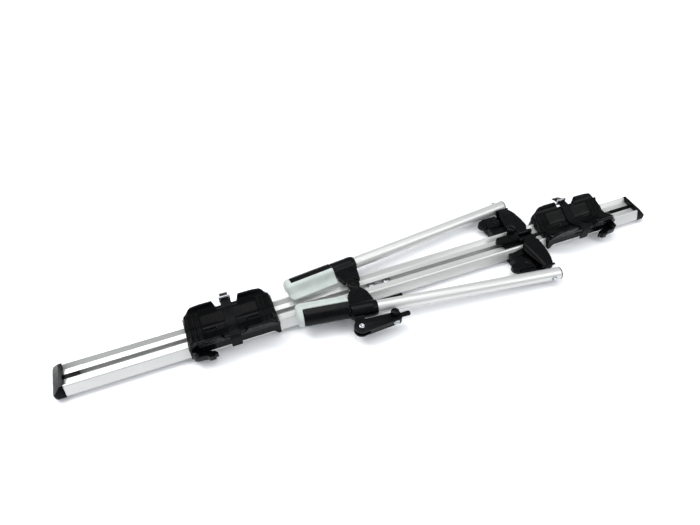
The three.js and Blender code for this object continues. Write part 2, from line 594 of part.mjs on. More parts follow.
// The lever lies along the rail, pointing to the tray's middle, and swings out about its pin.
function lockLeverGeometry(end) {
  const [x, y] = LOCK_PIVOT;
  const body = outline([...arc(x, y, 7, -90, 90, 8), [x - 8, y + 4], [x - 26, y + 3.5],
    [x - 36, y + 1], [x - 41, y - 4], [x - 41, y - 7], [x - 37, y - 7.5], [x - 34, y - 12], [x - 24, y - 12.5],
    [x - 19, y - 7.5]]);
  const lever = common(plan(body, 5, 20.5), alongY(outline([
    [x - 60, 5], [x - 60, 12], [x - 34, 17], [x - 10, 20.5], [x + 12, 20.5], [x + 12, 9], [x - 20, 5]]), -80, 0));
  return toEnd(cut(lever, disc("z", LOCK_PIVOT, 2.5 + GAP, 0, 60, 12)), end);
}

function lockPinGeometry(end) {
  const pin = turned([[0, 5.2], [4, 5.2], [4, 5.7], [2.5, 5.7], [2.5, 27.3], [4.5, 27.3], [4, 28.6], [0, 29]], 16);
  return toEnd(pin.translate(LOCK_PIVOT[0], LOCK_PIVOT[1], 0), end);
}

// A ribbed rubber saddle across one end of the trough.
function gripPadGeometry(place) {
  const lift = 0.4;
  const thick = 3;
  const top = [[36, 45.5], [31, 38], [10, TRAY_FLOOR + 2.5], [8.2, TRAY_FLOOR]];
  const low = top.map(([y, z]) => [y - lift, z + lift]);
  const high = top.map(([y, z]) => [Math.max(y - thick, 0), z + thick]);
  const ring = (a, b) => outline([...a, ...mirrored(a), ...mirrored(b).reverse(), ...b.slice().reverse()]);
  const inside = high.slice(0, 3);
  const base = alongX(ring(low, inside), -15, 15);
  const ribs = [-10, 0, 10].map((x) => {
    const crest = inside.map(([y, z]) => [y - 1.6, z + 1.6]);
    return alongX(ring(low, crest), x - 2.5, x + 2.5);
  });
  return join(base, ...ribs).translate(place, 0, 0);
}

// The strap lies in the trough, leaves over both walls and ends short at the near side.
function strapGeometry(flip) {
  const t = STRAP_THICKNESS;
  const path = [[50, 40.6], [42.5, 40.6], [32.1, 40.6], [30.2, 38.1], [10, 28.2],
    [0, 26.8], [-10, 28.2], [-30.2, 38.1], [-32.1, 40.6], [-43, 40.6], [-46.4, 38], [-47, 30], [-46.4, 12]];
  const inner = path.map(([y, z], i) => {
    const [ya, za] = path[Math.max(i - 1, 0)];
    const [yb, zb] = path[Math.min(i + 1, path.length - 1)];
    const length = Math.hypot(yb - ya, zb - za);
    return [y + ((zb - za) * t) / length, z - ((yb - ya) * t) / length];
  });
  const section = outline([...path, ...inner.reverse()]);
  const band = alongX(section, -STRAP_WIDTH / 2, STRAP_WIDTH / 2);
  return toSide(band, flip);
}

const BUCKLE = [54, 41]; // the buckle's hinge, in (y, z)

// A ladder frame at the strap's upper end, with a gap that the strap's tail runs through.
function buckleFrameGeometry(flip) {
  const [y, z] = BUCKLE;
  const parts = [
    block([-12, -9], [y - 3, y + 3], [z - 7, z + 10]),
    block([9, 12], [y - 3, y + 3], [z - 7, z + 10]),
    block([-12, 12], [y - 3, y + 3], [z - 7, z - 3.6]),
    block([-12, 12], [y - 3, y + 3], [z + 7, z + 10])];
  const pin = disc("x", [y, z + 1], 1.6, -11, 11, 12);
  return toSide(join(...parts, pin), flip);
}

function buckleLeverGeometry(flip) {
  const [y, z] = BUCKLE;
  const side = outline([...arc(y, z + 1, 3.4, 60, 300, 10), [y + 12, z - 4], [y + 22, z - 8],
    [y + 23, z - 6], [y + 13, z + 0.5]]);
  const lever = cut(alongX(side, -8.5, 8.5), disc("x", [y, z + 1], 1.6 + GAP, -20, 20, 14));
  return toSide(lever, flip);
}

const trayNutX = [-32, 32];

// ---------------------------------------------------------------- assembly
const carrier = new THREE.Group();

function addRail(parent) {
  piece(parent, "rail", railGeometry(), aluminium);
  piece(parent, "end_cap_left", capGeometry(-1, TONGUE_LEFT), blackPlastic);
  piece(parent, "end_cap_right", capGeometry(1, TONGUE_RIGHT), blackPlastic);
  piece(parent, "rear_bar_foot", rearFootGeometry(), blackPlastic);
  const half = REAR_FOOT_LENGTH / 2;
  const padX = [REAR_FOOT_X - half + 3, REAR_FOOT_X + half - 3];
  piece(parent, "rear_bar_pad", padGeometry(padX, REAR_FOOT_HALF - 3), blackRubber);
  rearBoltX.forEach((x, i) => piece(parent, `rear_foot_bolt_${i + 1}`, footBoltGeometry(x), steel));
}

function addBase(parent) {
  piece(parent, "base_cradle", cradleGeometry(), blackPlastic);
  piece(parent, "front_bar_pad", padGeometry([cradleX[0] + 4, cradleX[1] - 4], CRADLE_HALF - 4), blackRubber);
  piece(parent, "hinge_block", hingeBlockGeometry(), blackPlastic);
  const nutX = [BASE_X + 2, BASE_X + BLOCK_LENGTH];
  piece(parent, "base_slot_nut", slotNutGeometry(nutX, nutX[1] + 14), blackPlastic);
  piece(parent, "base_lock_barrel", lockBarrelGeometry(5, 7), blackPlastic)
    .position.set(LOCK_AT[0], LOCK_AT[1], FINGER_TOP);
  piece(parent, "release_knob", releaseKnobGeometry(), blackPlastic)
    .position.set(RELEASE_AT[0], RELEASE_AT[1], FINGER_TOP);
  for (const side of [1, -1]) {
    const name = sideName(side);
    piece(parent, `clamp_bolt_${name}`, clampBoltGeometry(side), blackPlastic);
    piece(parent, `wing_hinge_pin_${name}`, hingePinGeometry(side), steel);
    piece(parent, `wing_${name}`, wingGeometry(side), blackPlastic);
    piece(parent, `fold_pin_${name}`, foldPinGeometry(side), steel);
  }
}

function addArm(frame, side) {
  const name = sideName(side);
  const arm = new THREE.Group();
  arm.position.set(0, side * TUBE_OFFSET, 0);
  arm.rotation.z = side * degrees(TUBE_TOE);
  frame.add(arm);
  piece(arm, `tube_${name}`, tubeGeometry(side), aluminium);
  piece(arm, `tube_plug_${name}`, tubePlugGeometry(), blackPlastic);
  piece(arm, `head_${name}`, headGeometry(side), blackPlastic);
  piece(arm, `jaw_shell_${name}`, jawShellGeometry(side), blackPlastic);
  piece(arm, `jaw_pad_${name}`, jawPadGeometry(side), rubberPad);
}

function addFrame(parent) {
  const frame = new THREE.Group();
  frame.position.set(FOLD_X, 0, FOLD_Z);
  frame.rotation.y = degrees(FRAME_RISE);
  parent.add(frame);
  addArm(frame, 1);
  addArm(frame, -1);
  piece(frame, "hub_bolt", hubBoltGeometry(), blackPlastic);
  piece(frame, "clamp_lever", leverGeometry(), blackPlastic);
  piece(frame, "lever_rivet", leverRivetGeometry(), steel);
  piece(frame, "tension_knob", tensionKnobGeometry(), blackPlastic);
  const lock = piece(frame, "lever_lock_barrel", lockBarrelGeometry(LOCK_RADIUS, 9), steel);
  lock.position.set(knobAt[0] - 2, LEVER_PIVOT[1] - LEVER_END - 0.6, -1);
  lock.rotation.x = Math.PI / 2;
}

function addTray(parent, name, x, end, flip) {
  const tray = new THREE.Group();
  tray.position.x = x;
  parent.add(tray);
  piece(tray, `tray_${name}`, trayGeometry(end), blackPlastic);
  piece(tray, `grip_pad_${name}_outer`, gripPadGeometry(end * 73), blackRubber);
  piece(tray, `grip_pad_${name}_inner`, gripPadGeometry(-end * 73), blackRubber);
  piece(tray, `strap_${name}`, strapGeometry(flip), webbing);
  piece(tray, `buckle_frame_${name}`, buckleFrameGeometry(flip), steel);
  piece(tray, `buckle_lever_${name}`, buckleLeverGeometry(flip), blackPlastic);
  piece(tray, `slot_nut_${name}`, slotNutGeometry(trayNutX, trayNutX[1]), blackPlastic);
  piece(tray, `lock_lever_${name}`, lockLeverGeometry(end), blackPlastic);
  piece(tray, `lock_pin_${name}`, lockPinGeometry(end), blackPlastic);
}

addRail(carrier);
addBase(carrier);
addFrame(carrier);
addTray(carrier, "left", TRAY_LEFT_X, -1, 1);
addTray(carrier, "right", TRAY_RIGHT_X, 1, 1);

export default carrier;
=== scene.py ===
"""Roof-mounted bicycle carrier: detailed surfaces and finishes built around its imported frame."""
import json
import math

import bmesh
import bpy
import numpy as np
from bpy.props import FloatProperty, FloatVectorProperty, PointerProperty
from mathutils import Euler, Matrix, Vector


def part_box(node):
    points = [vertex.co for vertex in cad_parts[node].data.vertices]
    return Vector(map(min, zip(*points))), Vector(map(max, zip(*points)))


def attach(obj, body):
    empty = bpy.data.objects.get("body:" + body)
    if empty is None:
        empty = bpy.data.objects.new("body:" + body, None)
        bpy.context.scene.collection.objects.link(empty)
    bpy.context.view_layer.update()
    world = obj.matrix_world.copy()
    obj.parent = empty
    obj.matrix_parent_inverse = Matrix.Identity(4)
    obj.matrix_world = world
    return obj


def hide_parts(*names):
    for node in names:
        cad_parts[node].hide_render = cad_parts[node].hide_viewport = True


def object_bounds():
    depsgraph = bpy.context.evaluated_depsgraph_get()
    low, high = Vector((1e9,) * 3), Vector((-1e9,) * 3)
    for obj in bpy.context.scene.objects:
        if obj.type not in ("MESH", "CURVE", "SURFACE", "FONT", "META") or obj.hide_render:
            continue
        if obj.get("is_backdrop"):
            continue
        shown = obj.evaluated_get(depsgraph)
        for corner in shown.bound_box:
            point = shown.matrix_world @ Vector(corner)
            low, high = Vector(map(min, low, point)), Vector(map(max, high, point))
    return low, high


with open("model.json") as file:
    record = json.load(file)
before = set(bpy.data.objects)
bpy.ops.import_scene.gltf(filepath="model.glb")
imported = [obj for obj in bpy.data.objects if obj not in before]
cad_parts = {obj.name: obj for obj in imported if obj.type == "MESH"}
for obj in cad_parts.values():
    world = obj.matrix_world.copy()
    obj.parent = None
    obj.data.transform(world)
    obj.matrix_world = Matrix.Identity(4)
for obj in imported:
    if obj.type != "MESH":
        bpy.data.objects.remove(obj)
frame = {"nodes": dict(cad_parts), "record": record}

bl_info = {
    "name": "Bicycle carrier",
    "version": (1, 0, 0),
    "blender": (4, 5, 0),
    "location": "View3D > Sidebar > Carrier",
    "description": "Builds the surfaces and finishes of a roof-mounted bicycle carrier around its frame",
    "category": "Object",
}

NODES = frame["nodes"]
MM = 0.001


# ---------------------------------------------------------------- sizes and colours

class FrameSizes(bpy.types.PropertyGroup):
    """Sizes of the folding frame, in its own flat plane."""

    fold_x: FloatProperty(name="Fold axis", description="Fold axis along the rail, in mm", default=357.0)
    fold_z: FloatProperty(name="Fold height", description="Fold axis above the rail's base, in mm",
                          default=10.5)
    rise: FloatProperty(name="Rise", description="Rise of the folded frame towards the jaws", unit="ROTATION",
                        default=math.radians(1.42))
    toe: FloatProperty(name="Toe-in", description="Each tube's lean towards the middle", unit="ROTATION",
                       default=math.radians(7.16))
    offset: FloatProperty(name="Tube offset", description="Tube axis from the middle, in mm", default=117.3)
    tube_radius: FloatProperty(name="Tube radius", description="In mm", default=14.0)


class TraySizes(bpy.types.PropertyGroup):
    """Places of the two wheel trays."""

    left_x: FloatProperty(name="Left tray", description="Its middle along the rail, in mm", default=-341.0)
    right_x: FloatProperty(name="Right tray", description="Its middle along the rail, in mm", default=495.0)


class Finishes(bpy.types.PropertyGroup):
    """Base colours of the finishes."""

    alloy: FloatVectorProperty(name="Alloy", description="Satin anodised extrusion", subtype="COLOR",
                               default=(0.63, 0.633, 0.617))
    moulding: FloatVectorProperty(name="Black moulding", description="Fine-grained black plastic",
                                  subtype="COLOR", default=(0.0012, 0.0013, 0.0016))
    pad: FloatVectorProperty(name="Jaw pad", description="Pale soft rubber", subtype="COLOR",
                             default=(0.425, 0.468, 0.442))
    rubber: FloatVectorProperty(name="Black rubber", description="Grip pads and bar pads", subtype="COLOR",
                                default=(0.002, 0.0021, 0.0024))
    steel: FloatVectorProperty(name="Zinc-plated steel", description="Pins, rivets and buckles",
                               subtype="COLOR", default=(0.50, 0.52, 0.55))
    webbing: FloatVectorProperty(name="Strap", description="Ribbed strap", subtype="COLOR",
                                 default=(0.002, 0.0021, 0.0026))
    floor: FloatVectorProperty(name="Floor", description="Plain pale floor", subtype="COLOR",
                               default=(0.93, 0.935, 0.95))


def sizes():
    return bpy.context.scene.carrier_frame


def trays():
    return bpy.context.scene.carrier_trays


def finishes():
    return bpy.context.scene.carrier_finishes


# ---------------------------------------------------------------- surfaces

def mesh_object(name, verts, faces, smooth=True):
    """A mesh from an array of points in metres and a list of faces, shaded smooth."""
    mesh = bpy.data.meshes.new(name)
    mesh.from_pydata(np.asarray(verts, float).reshape(-1, 3).tolist(), [], faces)
    mesh.update()
    mesh.validate()
    mesh.polygons.foreach_set("use_smooth", np.full(len(mesh.polygons), smooth))
    obj = bpy.data.objects.new(name, mesh)
    bpy.context.scene.collection.objects.link(obj)
    return obj


def grid_faces(rows, columns, loop_rows=False, loop_columns=False):
    """Quads of a rows by columns grid. A looped side joins its last line to its first."""
    i = np.arange(rows if loop_rows else rows - 1)[:, None]
    j = np.arange(columns if loop_columns else columns - 1)[None, :]
    i2, j2 = (i + 1) % rows, (j + 1) % columns
    quads = np.stack([i * columns + j, i * columns + j2, i2 * columns + j2, i2 * columns + j], -1)
    return quads.reshape(-1, 4).tolist()


def outward(obj):
    """Turns every face of a closed piece outwards, from the sign of its volume."""
    mesh = obj.data
    mesh.calc_loop_triangles()
    tris = np.zeros(len(mesh.loop_triangles) * 3, np.int32)
    mesh.loop_triangles.foreach_get("vertices", tris)
    co = np.zeros(len(mesh.vertices) * 3)
    mesh.vertices.foreach_get("co", co)
    p = co.reshape(-1, 3)[tris.reshape(-1, 3)]
    if np.einsum("ij,ij->i", p[:, 0], np.cross(p[:, 1], p[:, 2])).sum() < 0:
        mesh.flip_normals()
    return obj


def loft(name, rings):
    """A skin through rings, an array (rings, points, 3): each ring is joined to the next, and the
    first and last are closed by fans to their centres."""
    rings = np.asarray(rings, float)
    n, m = rings.shape[:2]
    verts = np.vstack([rings.reshape(-1, 3), rings[0].mean(0), rings[-1].mean(0)])
    faces = grid_faces(n, m, loop_columns=True)
    k = np.arange(m)
    faces += np.stack([np.full(m, n * m), (k + 1) % m, k], -1).tolist()
    last = (n - 1) * m
    faces += np.stack([np.full(m, n * m + 1), last + k, last + (k + 1) % m], -1).tolist()
    return outward(mesh_object(name, verts, faces))


def spun(name, profile, sides=48, ribs=0, rib_depth=0.0, rib_from=1e9):
    """A turned piece on the z axis: profile rows are (radius, height), spun round. With ribs, the
    radius past rib_from swings by rib_depth as the cosine of ribs times the angle."""
    profile = np.asarray(profile, float)
    a = np.linspace(0, 2 * math.pi, sides, endpoint=False)
    r = np.repeat(profile[:, :1], sides, 1)
    if ribs:
        wave = np.clip(np.cos(a * ribs) * 1.6, -1, 1)
        r = np.where(r >= rib_from, r - rib_depth * 0.5 * (1 - wave)[None, :], r)
    z = np.repeat(profile[:, 1:], sides, 1)
    return loft(name, np.stack([r * np.cos(a), r * np.sin(a), z], -1))


def between(a, b, c, d, f):
    """The Catmull-Rom curve from b to c at the share f, with a before it and d after it."""
    square = 2 * a - 5 * b + 4 * c - d
    cube = 3 * b - a - 3 * c + d
    return 0.5 * (2 * b + (c - a) * f + square * f ** 2 + cube * f ** 3)


def smooth_closed(points, count):
    """A closed smooth line through points (n, k): periodic Catmull-Rom, resampled to count points."""
    p = np.asarray(points, float)
    n = len(p)
    t = np.linspace(0, n, count, endpoint=False)
    i = np.floor(t).astype(int)
    f = (t - i)[:, None]
    a, b, c, d = p[(i - 1) % n], p[i % n], p[(i + 1) % n], p[(i + 2) % n]
    return between(a, b, c, d, f)


def smooth_open(points, count):
    """A smooth line through points (n, k) from end to end, Catmull-Rom with its end points doubled."""
    p = np.asarray(points, float)
    p = np.vstack([2 * p[0] - p[1], p, 2 * p[-1] - p[-2]])
    t = np.linspace(0, len(p) - 3 - 1e-9, count)
    i = np.floor(t).astype(int) + 1
    f = (t + 1 - i)[:, None]
    a, b, c, d = p[i - 1], p[i], p[i + 1], p[i + 2]
    return between(a, b, c, d, f)


def rounded(points, radius, steps=4):
    """A closed outline (n, 2) with every corner cut to an arc-like curve: each corner is replaced by a
    quadratic curve between two points that lie radius away from it along its sides."""
    p = np.asarray(points, float)
    before, after = np.roll(p, 1, 0) - p, np.roll(p, -1, 0) - p
    lb, la = np.linalg.norm(before, axis=1, keepdims=True), np.linalg.norm(after, axis=1, keepdims=True)
    cut = np.minimum(radius, 0.45 * np.minimum(lb, la))
    a, b = p + before / lb * cut, p + after / la * cut
    t = np.linspace(0, 1, steps + 1)[None, :, None]
    curve = (1 - t) ** 2 * a[:, None] + 2 * t * (1 - t) * p[:, None] + t ** 2 * b[:, None]
    return curve.reshape(-1, 2)


def plate(name, outline, low, high, edge):
    """A plate with rounded rims: its outline (n, 2) is drawn in by edge times (1 - sin) as it nears
    its two faces."""
    outline = np.asarray(outline, float)
    following = np.roll(outline, -1, 0)
    if np.sum(outline[:, 0] * following[:, 1] - outline[:, 1] * following[:, 0]) < 0:
        outline = outline[::-1]
    tangent = np.roll(outline, -1, 0) - np.roll(outline, 1, 0)
    tangent /= np.maximum(np.linalg.norm(tangent, axis=1, keepdims=True), 1e-9)
    normal = np.stack([tangent[:, 1], -tangent[:, 0]], -1)
    a = np.linspace(0, math.pi / 2, 4)
    inset = np.concatenate([edge * (1 - np.sin(a)), edge * (1 - np.sin(a[::-1]))])
    height = np.concatenate([low + edge * (1 - np.cos(a)), high - edge * (1 - np.cos(a[::-1]))])
    rings = outline[None] - normal[None] * inset[:, None, None]
    z = np.repeat(height[:, None], len(outline), 1)
    verts = np.concatenate([rings, z[..., None]], -1)
    n, m = verts.shape[:2]
    faces = grid_faces(n, m, loop_columns=True)
    faces.append(list(range(m))[::-1])
    faces.append(list(range((n - 1) * m, n * m)))
    return outward(mesh_object(name, verts.reshape(-1, 3), faces))


def place(obj, matrix=None, scale=MM):
    """Puts a piece drawn in millimetres into metres, through a matrix, in its mesh."""
    co = np.zeros(len(obj.data.vertices) * 3)
    obj.data.vertices.foreach_get("co", co)
    co = co.reshape(-1, 3) * scale
    if matrix is not None:
        m = np.array(matrix)
        co = co @ m[:3, :3].T + m[:3, 3] * scale
    obj.data.vertices.foreach_set("co", co.ravel())
    obj.data.update()
    return outward(obj)


def join(name, *objects):
    """One piece from several meshes, their points stacked one after another."""
    verts, faces, start = [], [], 0
    for obj in objects:
        co = np.zeros(len(obj.data.vertices) * 3)
        obj.data.vertices.foreach_get("co", co)
        verts.append(co.reshape(-1, 3))
        faces += [[v + start for v in poly.vertices] for poly in obj.data.polygons]
        start += len(obj.data.vertices)
    joined = mesh_object(name, np.vstack(verts), faces)
    for obj in objects:
        mesh = obj.data
        bpy.data.objects.remove(obj)
        bpy.data.meshes.remove(mesh)
    return joined


def frame_matrix():
    """The folded frame's plane: a turn of its rise about Y, set at the fold axis (mm)."""
    s = sizes()
    return Matrix.Translation((s.fold_x, 0, s.fold_z)) @ Matrix.Rotation(s.rise, 4, "Y")


def arm_matrix(side):
    """One arm's own axes: out to its tube and turned by its toe-in, in the frame's plane (mm)."""
    s = sizes()
    turn = Matrix.Rotation(side * s.toe, 4, "Z")
    return frame_matrix() @ Matrix.Translation((0, side * s.offset, 0)) @ turn


def other_side(obj, side):
    """For the near side, y is turned over; outward() then turns the faces back."""
    if side < 0:
        co = np.zeros(len(obj.data.vertices) * 3)
        obj.data.vertices.foreach_get("co", co)
        co = co.reshape(-1, 3)
        co[:, 1] *= -1
        obj.data.vertices.foreach_set("co", co.ravel())
    return obj


def soften(obj, width, segments, angle):
    """Rounds a piece's hard edges with a bevel and shades it evenly."""
    bevel = obj.modifiers.new("edges", "BEVEL")
    bevel.width, bevel.segments = width * MM, segments
    bevel.limit_method, bevel.angle_limit = "ANGLE", math.radians(angle)
    bevel.harden_normals = True
    return obj


def copy_of(node, name):
    """A merged copy of a node's mesh: doubles joined and flat areas made whole again."""
    obj = bpy.data.objects.new(name, NODES[node].data.copy())
    bpy.context.scene.collection.objects.link(obj)
    bm = bmesh.new()
    bm.from_mesh(obj.data)
    bmesh.ops.remove_doubles(bm, verts=bm.verts, dist=1e-6)
    bmesh.ops.dissolve_limit(bm, angle_limit=math.radians(0.6), verts=bm.verts, edges=bm.edges)
    bm.to_mesh(obj.data)
    bm.free()
    obj.data.polygons.foreach_set("use_smooth", np.ones(len(obj.data.polygons), bool))
    return obj


# ---------------------------------------------------------------- finishes

def node_tree(name, color, metallic, roughness):
    """A material with one principled shader: returns it with its node tree and shader."""
    mat = bpy.data.materials.new(name)
    mat.use_nodes = True
    tree = mat.node_tree
    shader = tree.nodes["Principled BSDF"]
    shader.inputs["Base Color"].default_value = (*color, 1)
    shader.inputs["Metallic"].default_value = metallic
    shader.inputs["Roughness"].default_value = roughness
    return mat, tree, shader


def noise(tree, scale, detail=3.0, stretch=(1, 1, 1), roughness=0.55):
    """Noise on Object coordinates, stretched per axis: scale counts its cells per metre."""
    coords = tree.nodes.new("ShaderNodeTexCoord")
    mapping = tree.nodes.new("ShaderNodeMapping")
    mapping.inputs["Scale"].default_value = stretch
    texture = tree.nodes.new("ShaderNodeTexNoise")
    texture.inputs["Scale"].default_value = scale
    texture.inputs["Detail"].default_value = detail
    texture.inputs["Roughness"].default_value = roughness
    tree.links.new(coords.outputs["Object"], mapping.inputs["Vector"])
    tree.links.new(mapping.outputs["Vector"], texture.inputs["Vector"])
    return texture.outputs["Fac"]


def remap(tree, value, low, high, to_low, to_high):
    """A clamped straight-line map of value from low..high to to_low..to_high."""
    node = tree.nodes.new("ShaderNodeMapRange")
    for key, number in zip(("From Min", "From Max", "To Min", "To Max"), (low, high, to_low, to_high)):
        node.inputs[key].default_value = number
    tree.links.new(value, node.inputs["Value"])
    return node.outputs["Result"]


def vary_color(tree, shader, value, dark, light):
    """Blends the base colour from dark to light by value."""
    ramp = tree.nodes.new("ShaderNodeValToRGB")
    ramp.color_ramp.elements[0].position = 0.36
    ramp.color_ramp.elements[1].position = 0.66
    ramp.color_ramp.elements[0].color = (*dark, 1)
    ramp.color_ramp.elements[1].color = (*light, 1)
    tree.links.new(value, ramp.inputs["Fac"])
    tree.links.new(ramp.outputs["Color"], shader.inputs["Base Color"])


def bump(tree, shader, value, depth, strength=1.0, below=None):
    """Raises the surface by value times depth, in metres, over an earlier bump if there is one."""
    node = tree.nodes.new("ShaderNodeBump")
    node.inputs["Strength"].default_value = strength
    node.inputs["Distance"].default_value = depth
    tree.links.new(value, node.inputs["Height"])
    if below is not None:
        tree.links.new(below.outputs["Normal"], node.inputs["Normal"])
    tree.links.new(node.outputs["Normal"], shader.inputs["Normal"])
    return node


def shade(color, factor):
    return tuple(min(1.0, c * factor) for c in color)


def satin_alloy():
    """Anodised extrusion: fine die lines along the rail, faint cloudy sheen."""
    color = finishes().alloy
    mat, tree, shader = node_tree("satin_alloy", color, 0.55, 0.36)
    lines = noise(tree, 900.0, 2.0, (0.012, 1, 1))
    clouds = noise(tree, 9.0, 4.0, (0.35, 1, 1))
    vary_color(tree, shader, clouds, shade(color, 0.93), shade(color, 1.04))
    tree.links.new(remap(tree, lines, 0.3, 0.7, 0.30, 0.44), shader.inputs["Roughness"])
    fine = bump(tree, shader, lines, 0.00004, 0.5)
    bump(tree, shader, noise(tree, 5200.0, 1.0), 0.000012, 0.3, fine)
    return mat


def black_moulding():
    """Black plastic with a spark-eroded grain, uneven gloss and a trace of dust."""
    color = finishes().moulding
    mat, tree, shader = node_tree("black_moulding", color, 0.0, 0.28)
    patches = noise(tree, 34.0, 5.0)
    vary_color(tree, shader, patches, shade(color, 0.8), shade(color, 1.75))
    tree.links.new(remap(tree, noise(tree, 90.0, 4.0), 0.3, 0.7, 0.20, 0.36), shader.inputs["Roughness"])
    shader.inputs["Specular IOR Level"].default_value = 0.13
    coarse = bump(tree, shader, noise(tree, 1500.0, 3.0), 0.00009, 0.55)
    bump(tree, shader, noise(tree, 240.0, 2.0), 0.00012, 0.25, coarse)
    return mat


def pale_pad():
    """Pale soft rubber with a pebbled skin and slightly handled patches."""
    color = finishes().pad
    mat, tree, shader = node_tree("pale_pad_rubber", color, 0.0, 0.72)
    vary_color(tree, shader, noise(tree, 48.0, 6.0), shade(color, 0.9), shade(color, 1.06))
    tree.links.new(remap(tree, noise(tree, 120.0, 3.0), 0.3, 0.7, 0.62, 0.8), shader.inputs["Roughness"])
    shader.inputs["Sheen Weight"].default_value = 0.15
    bump(tree, shader, noise(tree, 1100.0, 4.0), 0.00016, 0.6)
    return mat


def black_rubber():
    """Matt black rubber with a finely pitted skin."""
    color = finishes().rubber
    mat, tree, shader = node_tree("pitted_rubber", color, 0.0, 0.66)
    shader.inputs["Specular IOR Level"].default_value = 0.1
    vary_color(tree, shader, noise(tree, 60.0, 5.0), shade(color, 0.8), shade(color, 1.9))
    tree.links.new(remap(tree, noise(tree, 200.0, 3.0), 0.3, 0.7, 0.52, 0.74), shader.inputs["Roughness"])
    bump(tree, shader, noise(tree, 1900.0, 3.0), 0.00012, 0.6)
    return mat


def zinc_steel():
    """Zinc-plated steel with faint turning marks and a soft bloom."""
    color = finishes().steel
    mat, tree, shader = node_tree("zinc_steel", color, 1.0, 0.28)
    vary_color(tree, shader, noise(tree, 130.0, 4.0), shade(color, 0.82), shade(color, 1.15))
    tree.links.new(remap(tree, noise(tree, 320.0, 3.0), 0.3, 0.7, 0.2, 0.4), shader.inputs["Roughness"])
    bump(tree, shader, noise(tree, 2600.0, 2.0, (1, 1, 0.1)), 0.00003, 0.5)
    return mat


def ribbed_strap():
    """Moulded strap: fine cross ribs and a leathery grain."""
    color = finishes().webbing
    mat, tree, shader = node_tree("ribbed_strap", color, 0.0, 0.5)
    shader.inputs["Specular IOR Level"].default_value = 0.1
    coords = tree.nodes.new("ShaderNodeTexCoord")
    wave = tree.nodes.new("ShaderNodeTexWave")
    wave.wave_type, wave.bands_direction, wave.wave_profile = "BANDS", "X", "SIN"
    wave.inputs["Scale"].default_value = 260.0
    wave.inputs["Distortion"].default_value = 0.4
    tree.links.new(coords.outputs["Object"], wave.inputs["Vector"])
    vary_color(tree, shader, noise(tree, 110.0, 4.0), shade(color, 0.7), shade(color, 2.0))
    tree.links.new(remap(tree, noise(tree, 260.0, 3.0), 0.3, 0.7, 0.4, 0.62), shader.inputs["Roughness"])
    ribs = bump(tree, shader, wave.outputs["Fac"], 0.00012, 0.5)
    bump(tree, shader, noise(tree, 2200.0, 3.0), 0.00006, 0.5, ribs)
    return mat


def pale_floor():
    """Plain pale floor with the faintest unevenness."""
    color = finishes().floor
    mat, tree, shader = node_tree("pale_floor", color, 0.0, 0.85)
    vary_color(tree, shader, noise(tree, 1.4, 3.0), shade(color, 0.995), shade(color, 1.0))
    return mat


# each slot's finish: the material's name, which differs from the slot's own, and its maker
FINISH_OF = {"alloy": ("satin_alloy", satin_alloy), "black_plastic": ("black_moulding", black_moulding),
             "pale_rubber": ("pale_pad_rubber", pale_pad), "black_rubber": ("pitted_rubber", black_rubber),
             "steel": ("zinc_steel", zinc_steel), "webbing": ("ribbed_strap", ribbed_strap)}
BODY_OF = {node: body for body, nodes in frame["record"]["behaviour"]["bodies"].items() for node in nodes}
SLOT_OF = {part["node"]: part["material_slot"] for part in frame["record"]["subparts"]}


def finish(slot_name):
    """The finish of a slot, made once."""
    name, maker = FINISH_OF[slot_name]
    return bpy.data.materials.get(name) or maker()


def stand_for(obj, node):
    """Gives a piece a node's place in the model: its slot and finish, and its body."""
    obj.data.materials.clear()
    obj.data.materials.append(finish(SLOT_OF[node]))
    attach(obj, BODY_OF[node])
    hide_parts(node)
    return obj


def keep_shape(node, width, segments, angle=32):
    """A node's own shape with its hard edges rounded, standing for the node."""
    return stand_for(soften(copy_of(node, node + "_part"), width, segments, angle), node)


def fuse(obj, voxel, smooth):
    """Fuses overlapping closed bodies into one skin: a voxel remesh, then smoothing that fillets
    the joins. Its modifiers are applied, so the finished mesh is plain."""
    remesh = obj.modifiers.new("fuse", "REMESH")
    remesh.mode, remesh.voxel_size, remesh.use_smooth_shade = "VOXEL", voxel * MM, True
    relax = obj.modifiers.new("fillet", "SMOOTH")
    relax.factor, relax.iterations = 0.5, smooth
    bpy.context.view_layer.update()
    graph = bpy.context.evaluated_depsgraph_get()
    mesh = bpy.data.meshes.new_from_object(obj.evaluated_get(graph))
    obj.modifiers.clear()
    obj.data = mesh
    mesh.polygons.foreach_set("use_smooth", np.ones(len(mesh.polygons), bool))
    return obj


# ---------------------------------------------------------------- rail and feet

class CARRIER_OT_rail(bpy.types.Operator):
    """Makes the gutter rail, its end caps and the rear bar foot"""

    bl_idname = "carrier.rail"
    bl_label = "Rail and feet"

    def execute(self, context):
        keep_shape("rail", 0.45, 2, 20)
        for name in ("end_cap_left", "end_cap_right"):
            keep_shape(name, 1.3, 4, 24)
        keep_shape("rear_bar_foot", 1.2, 3)
        keep_shape("rear_bar_pad", 0.5, 2)
        for name in ("rear_foot_bolt_1", "rear_foot_bolt_2"):
            keep_shape(name, 0.3, 2)
        return {"FINISHED"}


# ---------------------------------------------------------------- base

def release_knob():
    """Spun knob with a fluted rim, on its own axis."""
    profile = [(4.0, -8.4), (4.0, 0.4), (8.9, 0.5), (9.7, 0.9), (10.0, 1.6), (10.0, 7.3), (9.6, 8.6),
               (8.5, 9.8), (6.6, 10.6), (3.8, 11.1), (1.3, 11.3)]
    knob = spun("release_knob_part", profile, 112, ribs=14, rib_depth=0.9, rib_from=9.5)
    low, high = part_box("release_knob")
    top = 11.4
    centre = Vector(((low.x + high.x) / 2, (low.y + high.y) / 2, high.z - top * MM)) / MM
    return stand_for(place(knob, Matrix.Translation(centre)), "release_knob")


